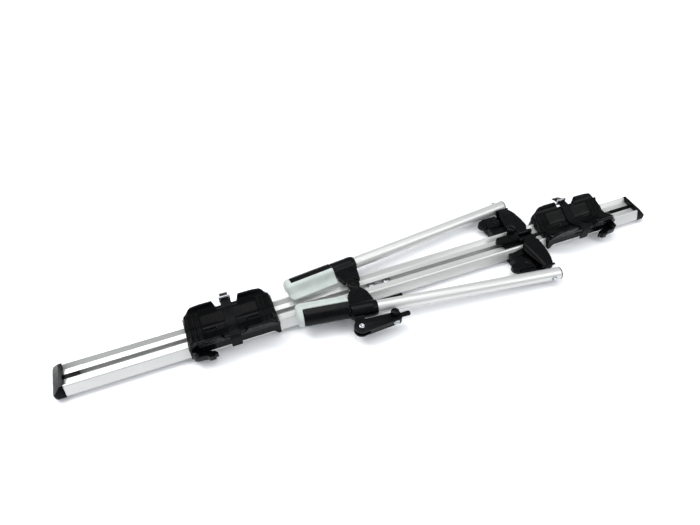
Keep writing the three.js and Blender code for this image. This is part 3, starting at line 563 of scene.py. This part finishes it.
class CARRIER_OT_base(bpy.types.Operator):
    """Makes the base under and over the rail, with its bolts, knob and lock"""

    bl_idname = "carrier.base"
    bl_label = "Base"

    def execute(self, context):
        keep_shape("base_cradle", 1.4, 4, 28)
        keep_shape("front_bar_pad", 0.5, 2)
        keep_shape("hinge_block", 0.7, 3, 28)
        keep_shape("base_slot_nut", 0.5, 2)
        release_knob()
        keep_shape("base_lock_barrel", 0.3, 2)
        for side in ("far", "near"):
            keep_shape("clamp_bolt_" + side, 0.3, 2)
            keep_shape("wing_hinge_pin_" + side, 0.3, 2)
        return {"FINISHED"}


# ---------------------------------------------------------------- wings

def wing(side):
    """An arched plate: its height over the rail falls from the hinge outwards as a smooth line through
    fixed heights, with a shallow crease, fused to its hinge barrel and pivot lug."""
    s = sizes()
    x0 = s.fold_x
    outline = rounded([(x0 - 8, 8), (x0 - 9, 17), (x0 - 24, 32), (x0 - 25, 44), (x0 - 21, 66), (x0 - 11, 88),
                       (x0 - 8, 99.4), (x0 + 16, 99.4), (x0 + 22, 78), (x0 + 24, 50), (x0 + 23.5, 24),
                       (x0 + 18, 17), (x0 + 17, 8)], 7, 6)
    heights = np.array([(0, 27.2), (9.5, 27.2), (26, 27.4), (50, 26.6), (74, 24.2), (92, 21.2), (101, 18.4)])

    def arch(x, y):
        base = np.interp(np.abs(y), heights[:, 0], heights[:, 1])
        crease = (x - (x0 - 17)) - 0.18 * (y - 30)
        return base + 1.3 * np.clip(crease / 3.0, 0, 1) - 1.0

    # a plate's two faces are flat many-sided caps, so they are split on a grid before they are lifted
    top = lay_on(plate("arch", outline, -2.0, 1.9, 1.5), arch)
    barrel = place(spun("barrel", [(4.2, -13.6), (4.5, -13.2), (4.5, 13.2), (4.2, 13.6)], 32),
                   Matrix.Translation((x0 + 5, 9.5, 24.3)) @ Matrix.Rotation(math.pi / 2, 4, "Y"), 1.0)
    lug = place(spun("lug", [(10.5, -2.8), (11.8, -2.2), (11.8, 2.2), (10.5, 2.8)], 48),
                Matrix.Translation((x0, 98, 10.5)) @ Matrix.Rotation(math.pi / 2, 4, "X"), 1.0)
    cheek_line = [(x0 - 9, 95.3), (x0 + 15, 95.3), (x0 + 15, 100.7), (x0 - 9, 100.7)]
    cheek = plate("cheek", rounded(cheek_line, 2), 10, 19.4, 1)
    bead = place(spun("bead", [(1.8, -17), (2.6, -16), (2.6, 16), (1.8, 17)], 24),
                 Matrix.Translation((x0 + 3, 98.2, 20.2)) @ Matrix.Rotation(math.pi / 2, 4, "Y"), 1.0)
    piece = join("wing_%s_part" % ("far" if side > 0 else "near"), top, barrel, lug, cheek, bead)
    other_side(piece, side)
    place(piece)
    fuse(piece, 0.6, 5)
    return stand_for(piece, "wing_" + ("far" if side > 0 else "near"))


def lay_on(obj, height):
    """Splits a plate's wide faces on a 1.5 mm grid and lifts each point by height(x, y)."""
    step = 1.5
    bm = bmesh.new()
    bm.from_mesh(obj.data)
    xs = [v.co.x for v in bm.verts]
    ys = [v.co.y for v in bm.verts]
    for normal, values in (((1, 0, 0), xs), ((0, 1, 0), ys)):
        for at in np.arange(min(values) + step, max(values), step):
            geometry = bm.verts[:] + bm.edges[:] + bm.faces[:]
            bmesh.ops.bisect_plane(bm, geom=geometry, dist=1e-5, plane_co=Vector(normal) * at,
                                   plane_no=normal)
    bmesh.ops.triangulate(bm, faces=[f for f in bm.faces if len(f.verts) > 4])
    bm.to_mesh(obj.data)
    bm.free()
    co = np.zeros(len(obj.data.vertices) * 3)
    obj.data.vertices.foreach_get("co", co)
    co = co.reshape(-1, 3)
    co[:, 2] += height(co[:, 0], co[:, 1])
    obj.data.vertices.foreach_set("co", co.ravel())
    obj.data.update()
    return obj


class CARRIER_OT_wings(bpy.types.Operator):
    """Makes the two arched wings and their fold pins"""

    bl_idname = "carrier.wings"
    bl_label = "Wings"

    def execute(self, context):
        for side in (1, -1):
            wing(side)
            keep_shape("fold_pin_" + ("far" if side > 0 else "near"), 0.4, 3)
        return {"FINISHED"}


# ---------------------------------------------------------------- arms

def tube(side):
    """A round tube: a circle carried along its axis, its two rims drawn in by a quarter circle."""
    r, sides = sizes().tube_radius, 96
    start, tail = -461, 19
    ends = np.array([0.0, 0.3, 0.8])
    stations = np.concatenate([start + ends, np.linspace(start + 6, tail - 5, 60), tail - ends[::-1]])
    radius = np.full(len(stations), r)
    radius[:3] -= (0.8, 0.25, 0)
    radius[-3:] -= (0, 0.25, 0.8)
    a = np.linspace(0, 2 * math.pi, sides, endpoint=False)
    rings = np.stack([np.repeat(stations[:, None], sides, 1), radius[:, None] * np.cos(a),
                      radius[:, None] * np.sin(a)], -1)
    name = "tube_" + ("far" if side > 0 else "near")
    return stand_for(place(loft(name + "_part", rings), arm_matrix(side)), name)


def into_arm(obj, side):
    """Moves a piece drawn in the frame's plane into the arm's own axes (mm)."""
    s = sizes()
    m = Matrix.Rotation(-side * s.toe, 4, "Z") @ Matrix.Translation((0, -side * s.offset, 0))
    return place(obj, m, 1.0)


HUB_X = -430  # the near head's hub, from the fold axis
RIVET_AT = (-454, -107)  # the clamp lever's rivet
WEB_HEIGHTS = (3.1, 12.0)  # low enough to meet over the rail, high enough to clear its crests


def head(side):
    """A moulded head: a turned sleeve, a web that narrows to the middle and, on the near side, the
    domed hub and the lever's lug, all fused with soft fillets."""
    turned = spun("sleeve", [(15.2, -464.6), (16.9, -464), (18.0, -461), (18.0, -416), (17.2, -410),
                             (15.6, -406.4), (14.6, -406)], 64)
    # the turn about y lays the sleeve's axis along x
    parts = [place(turned, Matrix.Rotation(math.pi / 2, 4, "Y"), 1.0)]
    if side < 0:
        web = rounded([(-459, -52), (-455.5, -26), (-441, -11), (-419, -11), (-409, -26), (-404, -58)], 6, 6)
        parts.append(into_arm(plate("web", web, *WEB_HEIGHTS, 2.2), side))
        dome = spun("dome", [(13.2, 3.1), (13.9, 4.1), (13.9, 10.5), (13.2, 12.6), (11.6, 14.0), (9, 14.6),
                             (5.6, 14.7)], 64)
        parts.append(into_arm(place(dome, Matrix.Translation((HUB_X, 0, 0)), 1.0), side))
        a = np.radians(np.linspace(150, 390, 25))
        lug = np.stack([RIVET_AT[0] + 11 * np.cos(a), RIVET_AT[1] + 11 * np.sin(a)], -1)
        lug = np.vstack([lug, [(-436, -74), (-460, -74)]])
        parts.append(into_arm(plate("lug", lug, -3.7, 3.7, 0.8), side))
    else:
        a = np.radians(np.linspace(25, 155, 21))
        hollow = np.stack([HUB_X + 17.2 * np.cos(a), 17.2 * np.sin(a)], -1)
        web = np.vstack([hollow, [(-449, 9), (-455, 26), (-459, 52), (-404, 58), (-408, 26), (-411, 9)]])
        parts.append(into_arm(plate("web", rounded(web, 2, 2), *WEB_HEIGHTS, 2.0), side))
        tongue = [(-436.3, 5.5), (-423.7, 5.5), (-423.7, 26), (-436.3, 26)]
        parts.append(into_arm(plate("tongue", tongue, 7.2, 10.0, 0.6), side))
    name = "head_" + ("far" if side > 0 else "near")
    piece = join(name + "_part", *parts)
    place(piece, arm_matrix(side))
    fuse(piece, 0.7, 7)
    return stand_for(piece, name)


class CARRIER_OT_arms(bpy.types.Operator):
    """Makes the two tubes, their plugs and the heads that meet over the rail"""

    bl_idname = "carrier.arms"
    bl_label = "Arms"

    def execute(self, context):
        for side in (1, -1):
            tube(side)
            head(side)
            keep_shape("tube_plug_" + ("far" if side > 0 else "near"), 0.5, 3)
        keep_shape("hub_bolt", 0.3, 2)
        return {"FINISHED"}


# ---------------------------------------------------------------- jaws

# sections across the arm as (y, z), in mm from the tube's axis
PAD_SECTION = [(-9.4, 2.0), (-9.4, 13), (-9.6, 24.2), (-12.5, 25.6), (-17.5, 25.0), (-21.2, 21.5),
               (-24.4, 16.8), (-29, 12.0), (-35, 8.8), (-39.4, 7.2), (-41.0, 5.2), (-40.2, 3.2), (-37, 2.2),
               (-24, 2.1), (-13, 1.9)]
SHELL_SECTION = [(-8.6, 2.0), (-7.6, -2.2), (-5.4, -5.6), (-1, -8.2), (5, -8.9), (10.5, -7.6), (14.2, -3.6),
                 (15.9, 2.0), (15.2, 8.5), (12.6, 14.6), (8.2, 20.0), (2.4, 23.4), (-4, 24.9), (-8.5, 24.9),
                 (-8.6, 14)]
TIP_SECTION = [(-41.0, 5.2), (-37, 2.3), (-20, 1.8), (-8, -2.4), (-2, -7.6), (5, -8.9), (11.5, -7.0),
               (15.6, 0), (15, 9), (10.5, 17.5), (2.5, 23.4), (-8, 25.4), (-17.5, 25.0), (-22.6, 19.6),
               (-29, 12.2), (-36.5, 8.4)]
JAW_ENDS = (-576.4, -466.6)  # along the arm, from the fold axis


def shrunk_along_x(stations, section, scale):
    """Rings (stations, points, 3) of a (y, z) section carried along x and shrunk to its middle by the
    scale of each station."""
    middle = section.mean(0)
    rings = np.zeros((len(stations), len(section), 3))
    rings[..., 0] = stations[:, None]
    rings[..., 1:] = middle + (section[None] - middle) * scale[:, None, None]
    return rings


def drawn_in(stations, low, high, low_radius, high_radius):
    """How far a section is drawn in at each station: a quarter circle of each radius at its two ends."""
    a = np.clip((low + low_radius - stations) / low_radius, 0, 1)
    b = np.clip((stations - high + high_radius) / high_radius, 0, 1)
    return low_radius * (1 - np.sqrt(1 - a ** 2)), high_radius * (1 - np.sqrt(1 - b ** 2))


def jaw(side):
    """Pad and shell: two smooth closed sections carried along the arm. Towards each end the section
    shrinks to its middle by a quarter circle, and the pad's end wraps round the shell's."""
    name = "far" if side > 0 else "near"
    low, high = JAW_ENDS
    pieces = []
    for part, section, x0, end in (("jaw_pad_", PAD_SECTION, low + 10, 3.0),
                                   ("jaw_shell_", SHELL_SECTION, low + 13.8, 4.0)):
        x = x0 + (high - x0) * (0.5 - 0.5 * np.cos(math.pi * np.linspace(0, 1, 90)))
        line = smooth_closed(section, 120)
        reach = np.linalg.norm(line - line.mean(0), axis=1).mean()
        a, b = drawn_in(x, x0, high, end, 1.6)
        pieces.append(loft(part + name + "_body", shrunk_along_x(x, line, 1 - (a + b) / reach)))
    # the wrapped tip: the whole jaw's outline, shrinking to a nose
    t = np.linspace(0, 1, 26)
    shrink = np.sqrt(np.clip(1 - (1 - np.clip(t * 1.35, 0, 1)) ** 2.0, 0, 1)) * 0.46 + 0.54
    shrink[0] = 0.50
    tip = loft("tip", shrunk_along_x(low + 13.2 * t, smooth_closed(TIP_SECTION, 120), shrink))
    pad = other_side(join("jaw_pad_%s_part" % name, pieces[0], tip), side)
    stand_for(fuse(place(pad, arm_matrix(side)), 0.7, 4), "jaw_pad_" + name)
    shell = other_side(pieces[1], side)
    shell.name = "jaw_shell_%s_part" % name
    stand_for(place(shell, arm_matrix(side)), "jaw_shell_" + name)


class CARRIER_OT_jaws(bpy.types.Operator):
    """Makes the two clamp jaws: soft pale pads in black shells"""

    bl_idname = "carrier.jaws"
    bl_label = "Jaws"

    def execute(self, context):
        for side in (1, -1):
            jaw(side)
        return {"FINISHED"}


# ---------------------------------------------------------------- clamp lever

class CARRIER_OT_lever(bpy.types.Operator):
    """Makes the clamp lever, its rivet, ribbed knob and lock barrel"""

    bl_idname = "carrier.lever"
    bl_label = "Clamp lever"

    def execute(self, context):
        keep_shape("clamp_lever", 1.8, 5, 30)
        rivet = spun("lever_rivet_part", [(3.9, -9.6), (5.9, -9.5), (6.0, -8.4), (3.9, -8.3), (3.9, 8.3),
                                          (5.6, 8.4), (6.0, 9.0), (5.6, 9.8), (4.4, 10.2), (2.7, 10.1),
                                          (2.0, 9.2), (1.6, 8.6)], 48)
        stand_for(place(rivet, frame_matrix() @ Matrix.Translation((*RIVET_AT, 0))), "lever_rivet")
        profile = [(2.5, 0.6), (2.5, 8.4), (8.2, 8.5), (8.8, 9.0), (9.0, 9.8), (9.0, 15.6), (8.7, 16.5),
                   (7.6, 17.2), (6.2, 17.9), (4.2, 18.4), (1.5, 18.6)]
        knob = spun("tension_knob_part", profile, 120, ribs=12, rib_depth=1.0, rib_from=8.6)
        at = frame_matrix() @ Matrix.Translation((-378, -101, 0))
        stand_for(place(knob, at), "tension_knob")
        keep_shape("lever_lock_barrel", 0.4, 3)
        return {"FINISHED"}


# ---------------------------------------------------------------- wheel trays

def wall_inside(z):
    """Half width of the trough at height z."""
    return np.interp(z, [25, 27.6, 38, 45.6, 46.8, 56], [8.2, 10.5, 31, 37.0, 39.4, 43.6])


def wall_outside(z):
    """Half width of the tray's outer face at height z."""
    return np.interp(z, [1, 5, 16, 26, 42, 50, 56], [42.4, 41.0, 39.4, 38.6, 42.4, 45.6, 47.4])


def rail_side(z):
    """Half width of the rail's sloping side at height z, with a running gap."""
    return np.interp(z, [2, 21.3], [36.9, 28.3])


def ease(x, low, high):
    """A smooth step from 0 at low to 1 at high."""
    t = np.clip((x - low) / (high - low), 0, 1)
    return t * t * (3 - 2 * t)


def tray_shell(name):
    """The tray as two lines across it, above and below, each a function of the place along the rail:
    the upper follows the trough to the rim, the lower follows the rail, the skirt and the outer wall.
    The rim rises in two lobes with a gap for the strap, and falls in a round shoulder at each end;
    the skirt is arched up between flared corners. Joined edge to edge they make a closed shell."""
    x = np.unique(np.concatenate([
        np.linspace(-93, 93, 94), np.linspace(-30, -18, 22), np.linspace(18, 30, 22),
        np.linspace(-93, -78, 18), np.linspace(78, 93, 18), (-92.6, -92.2, 92.2, 92.6)]))
    r = np.abs(x)
    lobe, shoulder = 15.0 * ease(r, 20.5, 28.5) - 1.6 * ease(r, 54, 72), 17 * ease(r, 70, 91.5)
    rim = 40.6 + lobe - shoulder - 7 * ease(r, 88, 93.4)
    foot = 10.0 - 8.6 * ease(r, 76, 88)
    edge = 0.7 * (1 - np.sqrt(np.clip(1 - ((r - 92.2) / 0.8).clip(0, 1) ** 2, 0, 1)))
    slot = 4.6 * ease(r, 31, 33) * (1 - ease(r, 59, 61))
    floor = [(0.0, 25 - slot), (1.9, 25 - slot), (2.6, 25 - slot * 0.85), (3.1, 25), (5.5, 25), (8.0, 25.1),
             (9.3, 26.1)]
    upper = [np.stack([np.full(len(x), y), np.full(len(x), z)], -1) for y, z in floor]
    roll = 1.9
    top = rim - roll
    for v in np.linspace(0, 1, 27):
        z = 27.6 + (top - 27.6) * v ** 0.9
        upper.append(np.stack([wall_inside(z), z], -1))
    inner, outer = wall_inside(top), wall_outside(top) + 1.0
    for turn in np.radians(np.linspace(160, 30, 8)):
        y = (inner + outer) / 2 + (outer - inner) / 2 * np.cos(turn)
        upper.append(np.stack([y, top + roll * np.sin(turn)], -1))
    side = foot + 0.5
    under = [(0.0, 14.7), (6.0, 14.7), (12.0, 14.7), (16.6, 14.8), (19.4, 17.6), (22.2, 21.4), (23.9, 23.3),
             (27.2, 23.4)]
    lower = [np.stack([np.full(len(x), y), np.full(len(x), z)], -1) for y, z in under]
    for v in np.linspace(0, 1, 5):
        z = 21.2 + (side - 21.2) * v
        lower.append(np.stack([rail_side(z), z], -1))
    lower.append(np.stack([rail_side(side) + 0.9, foot], -1))
    lower.append(np.stack([wall_outside(foot) - 0.8, foot], -1))
    for v in np.linspace(0.0, 1, len(upper) - len(lower)):
        z = foot + 0.6 + (top - foot - 0.6) * v
        lip = 1.0 * ease(z, rim - 6.5, rim - 5.0)
        lower.append(np.stack([wall_outside(z) + lip, z], -1))
    half_up, half_low = np.stack(upper, 1), np.stack(lower, 1)
    flip = np.array([-1.0, 1.0])
    up = np.concatenate([half_up[:, ::-1] * flip, half_up[:, 1:]], 1)
    low = np.concatenate([half_low[:, ::-1] * flip, half_low[:, 1:]], 1)
    middle = (up + low) / 2
    up, low = up + (middle - up) * edge[:, None, None], low + (middle - low) * edge[:, None, None]
    ring = np.concatenate([up, low[:, ::-1]], 1)
    n, m, k = len(x), ring.shape[1], up.shape[1]
    verts = np.concatenate([np.repeat(x[:, None, None], m, 1), ring], -1)
    faces = grid_faces(n, m, loop_columns=True)
    i = np.arange(k - 1)
    for start, turn in ((0, 1), ((n - 1) * m, -1)):
        cap = np.stack([start + i, start + i + 1, start + m - 2 - i, start + m - 1 - i], -1)
        faces += cap[:, ::turn].tolist()
    return outward(mesh_object(name, verts.reshape(-1, 3), faces))


def grip_ribs(name, middle):
    """A grip pad: a sheet over the trough whose height above it swells into three ribs along the rail,
    as the cosine of the place, and thins out towards its rims."""
    n, half = 61, 35.6
    x = np.repeat(np.linspace(-15, 15, n)[:, None], n, 1)
    y = np.repeat(np.linspace(-1, 1, n)[None], n, 0)
    places = [0, 8.2, 10.5, 31, 36]
    across = np.abs(y) * half
    floor = np.interp(across, places, [25, 25.1, 27.6, 38, 44.4])
    ribs = np.clip(np.cos(np.pi * x / 5.0) * 1.4 + 0.1, -0.5, 1)
    fade = np.sqrt(np.clip(1 - np.abs(y) ** 8, 0, 1)) * np.sqrt(np.clip(1 - np.abs(x / 15.2) ** 8, 0, 1))
    height = 0.5 + (2.3 + 2.2 * ribs) * fade
    slope = np.interp(across, places, [0, 0.2, 0.5, 0.75, 1.0])
    lean = np.sign(y) * height * slope * 0.55
    top = np.stack([x, np.sign(y) * across - lean, floor + height], -1)
    low = np.stack([x, y * half, floor + 0.35], -1)
    verts = np.concatenate([top.reshape(-1, 3), low.reshape(-1, 3)])
    verts[:, 0] += middle
    faces = grid_faces(n, n)
    faces += [[v + n * n for v in f[::-1]] for f in faces]
    i, last = np.arange(n - 1), n * n - 1
    rims = [(i, i + 1), ((i + 1) * n - 1, (i + 2) * n - 1), (last - i, last - 1 - i),
            ((n - 1 - i) * n, (n - 2 - i) * n)]
    for a, b in rims:
        faces += np.stack([b, a, a + n * n, b + n * n], -1).tolist()
    return outward(mesh_object(name, verts, faces))


BUCKLE_AT = (54.0, 41.0)  # a buckle's middle as (y, z), in mm
# the strap's way over the tray as (y, z) in mm, from its buckle to its hanging end
STRAP_PATH = [(50.8, 40.9), (48.5, 40.9), (44.5, 40.9), (38, 40.9), (33, 40.5), (30.0, 38.3), (22, 33.9),
              (10.5, 28.6), (4, 26.9), (-4, 26.9), (-10.5, 28.6), (-22, 33.9), (-30.0, 38.3), (-33, 40.5),
              (-38, 40.9), (-43, 40.9), (-45.9, 38.8), (-47.0, 34), (-47.1, 24), (-46.6, 12.4)]


def strap(name):
    """A flat strap: a rounded oblong section swept along its path in (y, z), its upper face notched
    by a row of ratchet teeth along the hanging tail and its end rounded off."""
    path = smooth_open(STRAP_PATH, 260)
    step = np.gradient(path, axis=0)
    length = np.concatenate([[0], np.cumsum(np.linalg.norm(np.diff(path, axis=0), axis=1))])
    tangent = step / np.linalg.norm(step, axis=1, keepdims=True)
    outer = np.stack([tangent[:, 1], -tangent[:, 0]], -1)
    a = np.linspace(0, 2 * math.pi, 40, endpoint=False)
    across = np.sign(np.cos(a)) * np.abs(np.cos(a)) ** 0.28
    depth = np.sign(np.sin(a)) * np.abs(np.sin(a)) ** 0.5
    total = length[-1]
    end = np.sqrt(np.clip(1 - np.clip((length - total + 2.4) / 2.4, 0, 1) ** 2, 0.0, 1)) * 0.18 + 0.82
    width = 11.0 * end
    teeth = 0.38 * (np.abs(((length / 3.2) % 1) - 0.5) * 2) * (length > 0.45 * total)
    centre = path + outer * 1.2
    x = width[:, None] * across[None]
    lift = 1.15 * depth[None] - np.where((depth[None] > 0.5) & (np.abs(x) < 7.4), teeth[:, None], 0)
    yz = centre[:, None] + outer[:, None] * lift[..., None]
    return loft(name + "_part", np.concatenate([x[..., None], yz], -1))


def buckle_frame(name):
    """A ladder buckle bent from round wire: a closed line round its window, swept as a tube, with a
    cross pin and a second bar."""
    y, z = BUCKLE_AT
    steps, sides = 120, 20
    line = smooth_closed([(-10.6, z - 5.4), (-10.6, z), (-10.6, z + 6), (-9.6, z + 8.3), (-6, z + 8.7),
                          (0, z + 8.8), (6, z + 8.7), (9.6, z + 8.3), (10.6, z + 6), (10.6, z),
                          (10.6, z - 5.4), (6, z - 5.5), (-6, z - 5.5)], steps)
    step = np.roll(line, -1, 0) - np.roll(line, 1, 0)
    tangent = step / np.linalg.norm(step, axis=1, keepdims=True)
    normal = np.stack([tangent[:, 1], -tangent[:, 0]], -1)
    a = np.linspace(0, 2 * math.pi, sides, endpoint=False)
    xz = line[:, None] + normal[:, None] * (1.4 * np.cos(a))[None, :, None]
    yy = np.repeat((y + 2.2 * np.sin(a))[None], len(line), 0)
    verts = np.stack([xz[..., 0], yy, xz[..., 1]], -1)
    ring = mesh_object("ring", verts.reshape(-1, 3), grid_faces(steps, sides, True, True))
    outward(ring)
    bars = []
    for at, radius in ((z + 1, 1.55), (z - 2.9, 0.8), (z + 5.2, 1.2)):
        bar = spun("bar", [(radius * 0.7, -10.8), (radius, -10.3), (radius, 10.3), (radius * 0.7, 10.8)], 24)
        bars.append(place(bar, Matrix.Translation((0, y, at)) @ Matrix.Rotation(math.pi / 2, 4, "Y"), 1.0))
    return join(name + "_part", ring, *bars)


class CARRIER_OT_trays(bpy.types.Operator):
    """Makes the two wheel trays with their grip pads, locks and nuts"""

    bl_idname = "carrier.trays"
    bl_label = "Wheel trays"

    def execute(self, context):
        for name, x, end in (("left", trays().left_x, -1), ("right", trays().right_x, 1)):
            at = Matrix.Translation((x, 0, 0))
            shell = tray_shell("tray_%s_part" % name)
            lug = lock_lug(end)
            stand_for(place(join("tray_%s_part" % name, shell, lug), at), "tray_" + name)
            for where, middle in (("outer", end * 73), ("inner", -end * 73)):
                node = "grip_pad_%s_%s" % (name, where)
                stand_for(place(grip_ribs(node + "_part", middle), at), node)
            keep_shape("lock_lever_" + name, 1.6, 4, 28)
            keep_shape("lock_pin_" + name, 0.3, 2)
            keep_shape("slot_nut_" + name, 0.5, 2)
        return {"FINISHED"}


def lock_lug(end):
    """The lug that holds the lock lever's pin: a plate with a round nose, out from the skirt."""
    a = np.radians(np.linspace(180, 360, 25))
    nose = np.stack([82 + 6.9 * np.cos(a), -48.5 + 6.9 * np.sin(a)], -1)
    line = np.vstack([nose, [(88.9, -38.5), (72, -38.5)]]) * (end, 1)
    return plate("lug", line, 21.1, 26.9, 1.0)


class CARRIER_OT_straps(bpy.types.Operator):
    """Makes the two wheel straps, their buckles and buckle levers"""

    bl_idname = "carrier.straps"
    bl_label = "Straps"

    def execute(self, context):
        for name, x in (("left", trays().left_x), ("right", trays().right_x)):
            at = Matrix.Translation((x, 0, 0))
            for kind, make in (("strap_", strap), ("buckle_frame_", buckle_frame)):
                stand_for(place(make(kind + name), at), kind + name)
            keep_shape("buckle_lever_" + name, 0.9, 4, 26)
        return {"FINISHED"}


# ---------------------------------------------------------------- stage

# each lamp's name, place in metres, width in metres and power in watts
LAMPS = (("key", (-1.6, 1.2, 2.6), 1.6, 56), ("fill", (1.9, -1.6, 2.2), 2.2, 26),
         ("top", (0.2, 0.3, 3.0), 2.4, 34))
CAMERA_AT = (-0.3574, -0.7097, 0.9445)
CAMERA_TURN = (-21.28, 47.78)  # azimuth and elevation, in degrees
FOCAL_LENGTH = 28.378


class CARRIER_OT_stage(bpy.types.Operator):
    """Makes the floor, the soft studio light and the camera"""

    bl_idname = "carrier.stage"
    bl_label = "Stage"

    def execute(self, context):
        scene = context.scene
        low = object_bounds()[0]
        span, z = 6.0, low.z - 0.0005
        corners = [(-span, -span, z), (span, -span, z), (span, span, z), (-span, span, z)]
        floor = mesh_object("floor", corners, [[0, 1, 2, 3]], False)
        floor.data.materials.append(pale_floor())
        floor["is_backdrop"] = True
        world = bpy.data.worlds.new("studio")
        world.use_nodes = True
        back = world.node_tree.nodes["Background"]
        back.inputs["Color"].default_value = (0.93, 0.96, 1.0, 1)
        # the room is darker in reflections, so that black pieces stay black
        paths = world.node_tree.nodes.new("ShaderNodeLightPath")
        strength = remap(world.node_tree, paths.outputs["Is Glossy Ray"], 0, 1, 0.80, 0.38)
        world.node_tree.links.new(strength, back.inputs["Strength"])
        scene.world = world
        for name, where, size, power in LAMPS:
            light = bpy.data.lights.new(name, "AREA")
            light.shape, light.size, light.energy = "DISK", size, power
            lamp = bpy.data.objects.new(name, light)
            lamp.location = where
            lamp.rotation_euler = (-Vector(where)).to_track_quat("-Z", "Y").to_euler()
            scene.collection.objects.link(lamp)
        lens = bpy.data.cameras.new("camera")
        lens.sensor_width, lens.lens = 36.0, FOCAL_LENGTH
        lens.clip_start, lens.clip_end = 0.05, 50
        camera = bpy.data.objects.new("camera", lens)
        camera.location = CAMERA_AT
        azimuth, elevation = CAMERA_TURN
        camera.rotation_euler = Euler((math.radians(90 - elevation), 0, math.radians(azimuth)))
        scene.collection.objects.link(camera)
        scene.camera = camera
        scene.view_settings.view_transform = "Standard"
        return {"FINISHED"}


# ---------------------------------------------------------------- panel and run

class CARRIER_PT_panel(bpy.types.Panel):
    """Lists the carrier's pieces and sizes in the sidebar"""

    bl_label = "Bicycle carrier"
    bl_idname = "CARRIER_PT_panel"
    bl_space_type = "VIEW_3D"
    bl_region_type = "UI"
    bl_category = "Carrier"

    def draw(self, context):
        layout = self.layout
        for group in (sizes(), trays(), finishes()):
            box = layout.box()
            for key in group.bl_rna.properties.keys():
                if key not in ("rna_type", "name"):
                    box.prop(group, key)
        for operator in OPERATORS:
            layout.operator(operator.bl_idname, text=operator.bl_label)


OPERATORS = (CARRIER_OT_rail, CARRIER_OT_base, CARRIER_OT_wings, CARRIER_OT_arms, CARRIER_OT_jaws,
             CARRIER_OT_lever, CARRIER_OT_trays, CARRIER_OT_straps, CARRIER_OT_stage)
GROUPS = (FrameSizes, TraySizes, Finishes)


def register():
    for item in (*GROUPS, *OPERATORS, CARRIER_PT_panel):
        bpy.utils.register_class(item)
    bpy.types.Scene.carrier_frame = PointerProperty(type=FrameSizes)
    bpy.types.Scene.carrier_trays = PointerProperty(type=TraySizes)
    bpy.types.Scene.carrier_finishes = PointerProperty(type=Finishes)


def unregister():
    del bpy.types.Scene.carrier_finishes
    del bpy.types.Scene.carrier_trays
    del bpy.types.Scene.carrier_frame
    for item in reversed((*GROUPS, *OPERATORS, CARRIER_PT_panel)):
        bpy.utils.unregister_class(item)


def main():
    """Runs every operator in order."""
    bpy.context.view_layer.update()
    register()
    for name in ("rail", "base", "wings", "arms", "jaws", "lever", "trays", "straps", "stage"):
        getattr(bpy.ops.carrier, name)()


if __name__ == "__main__":
    main()
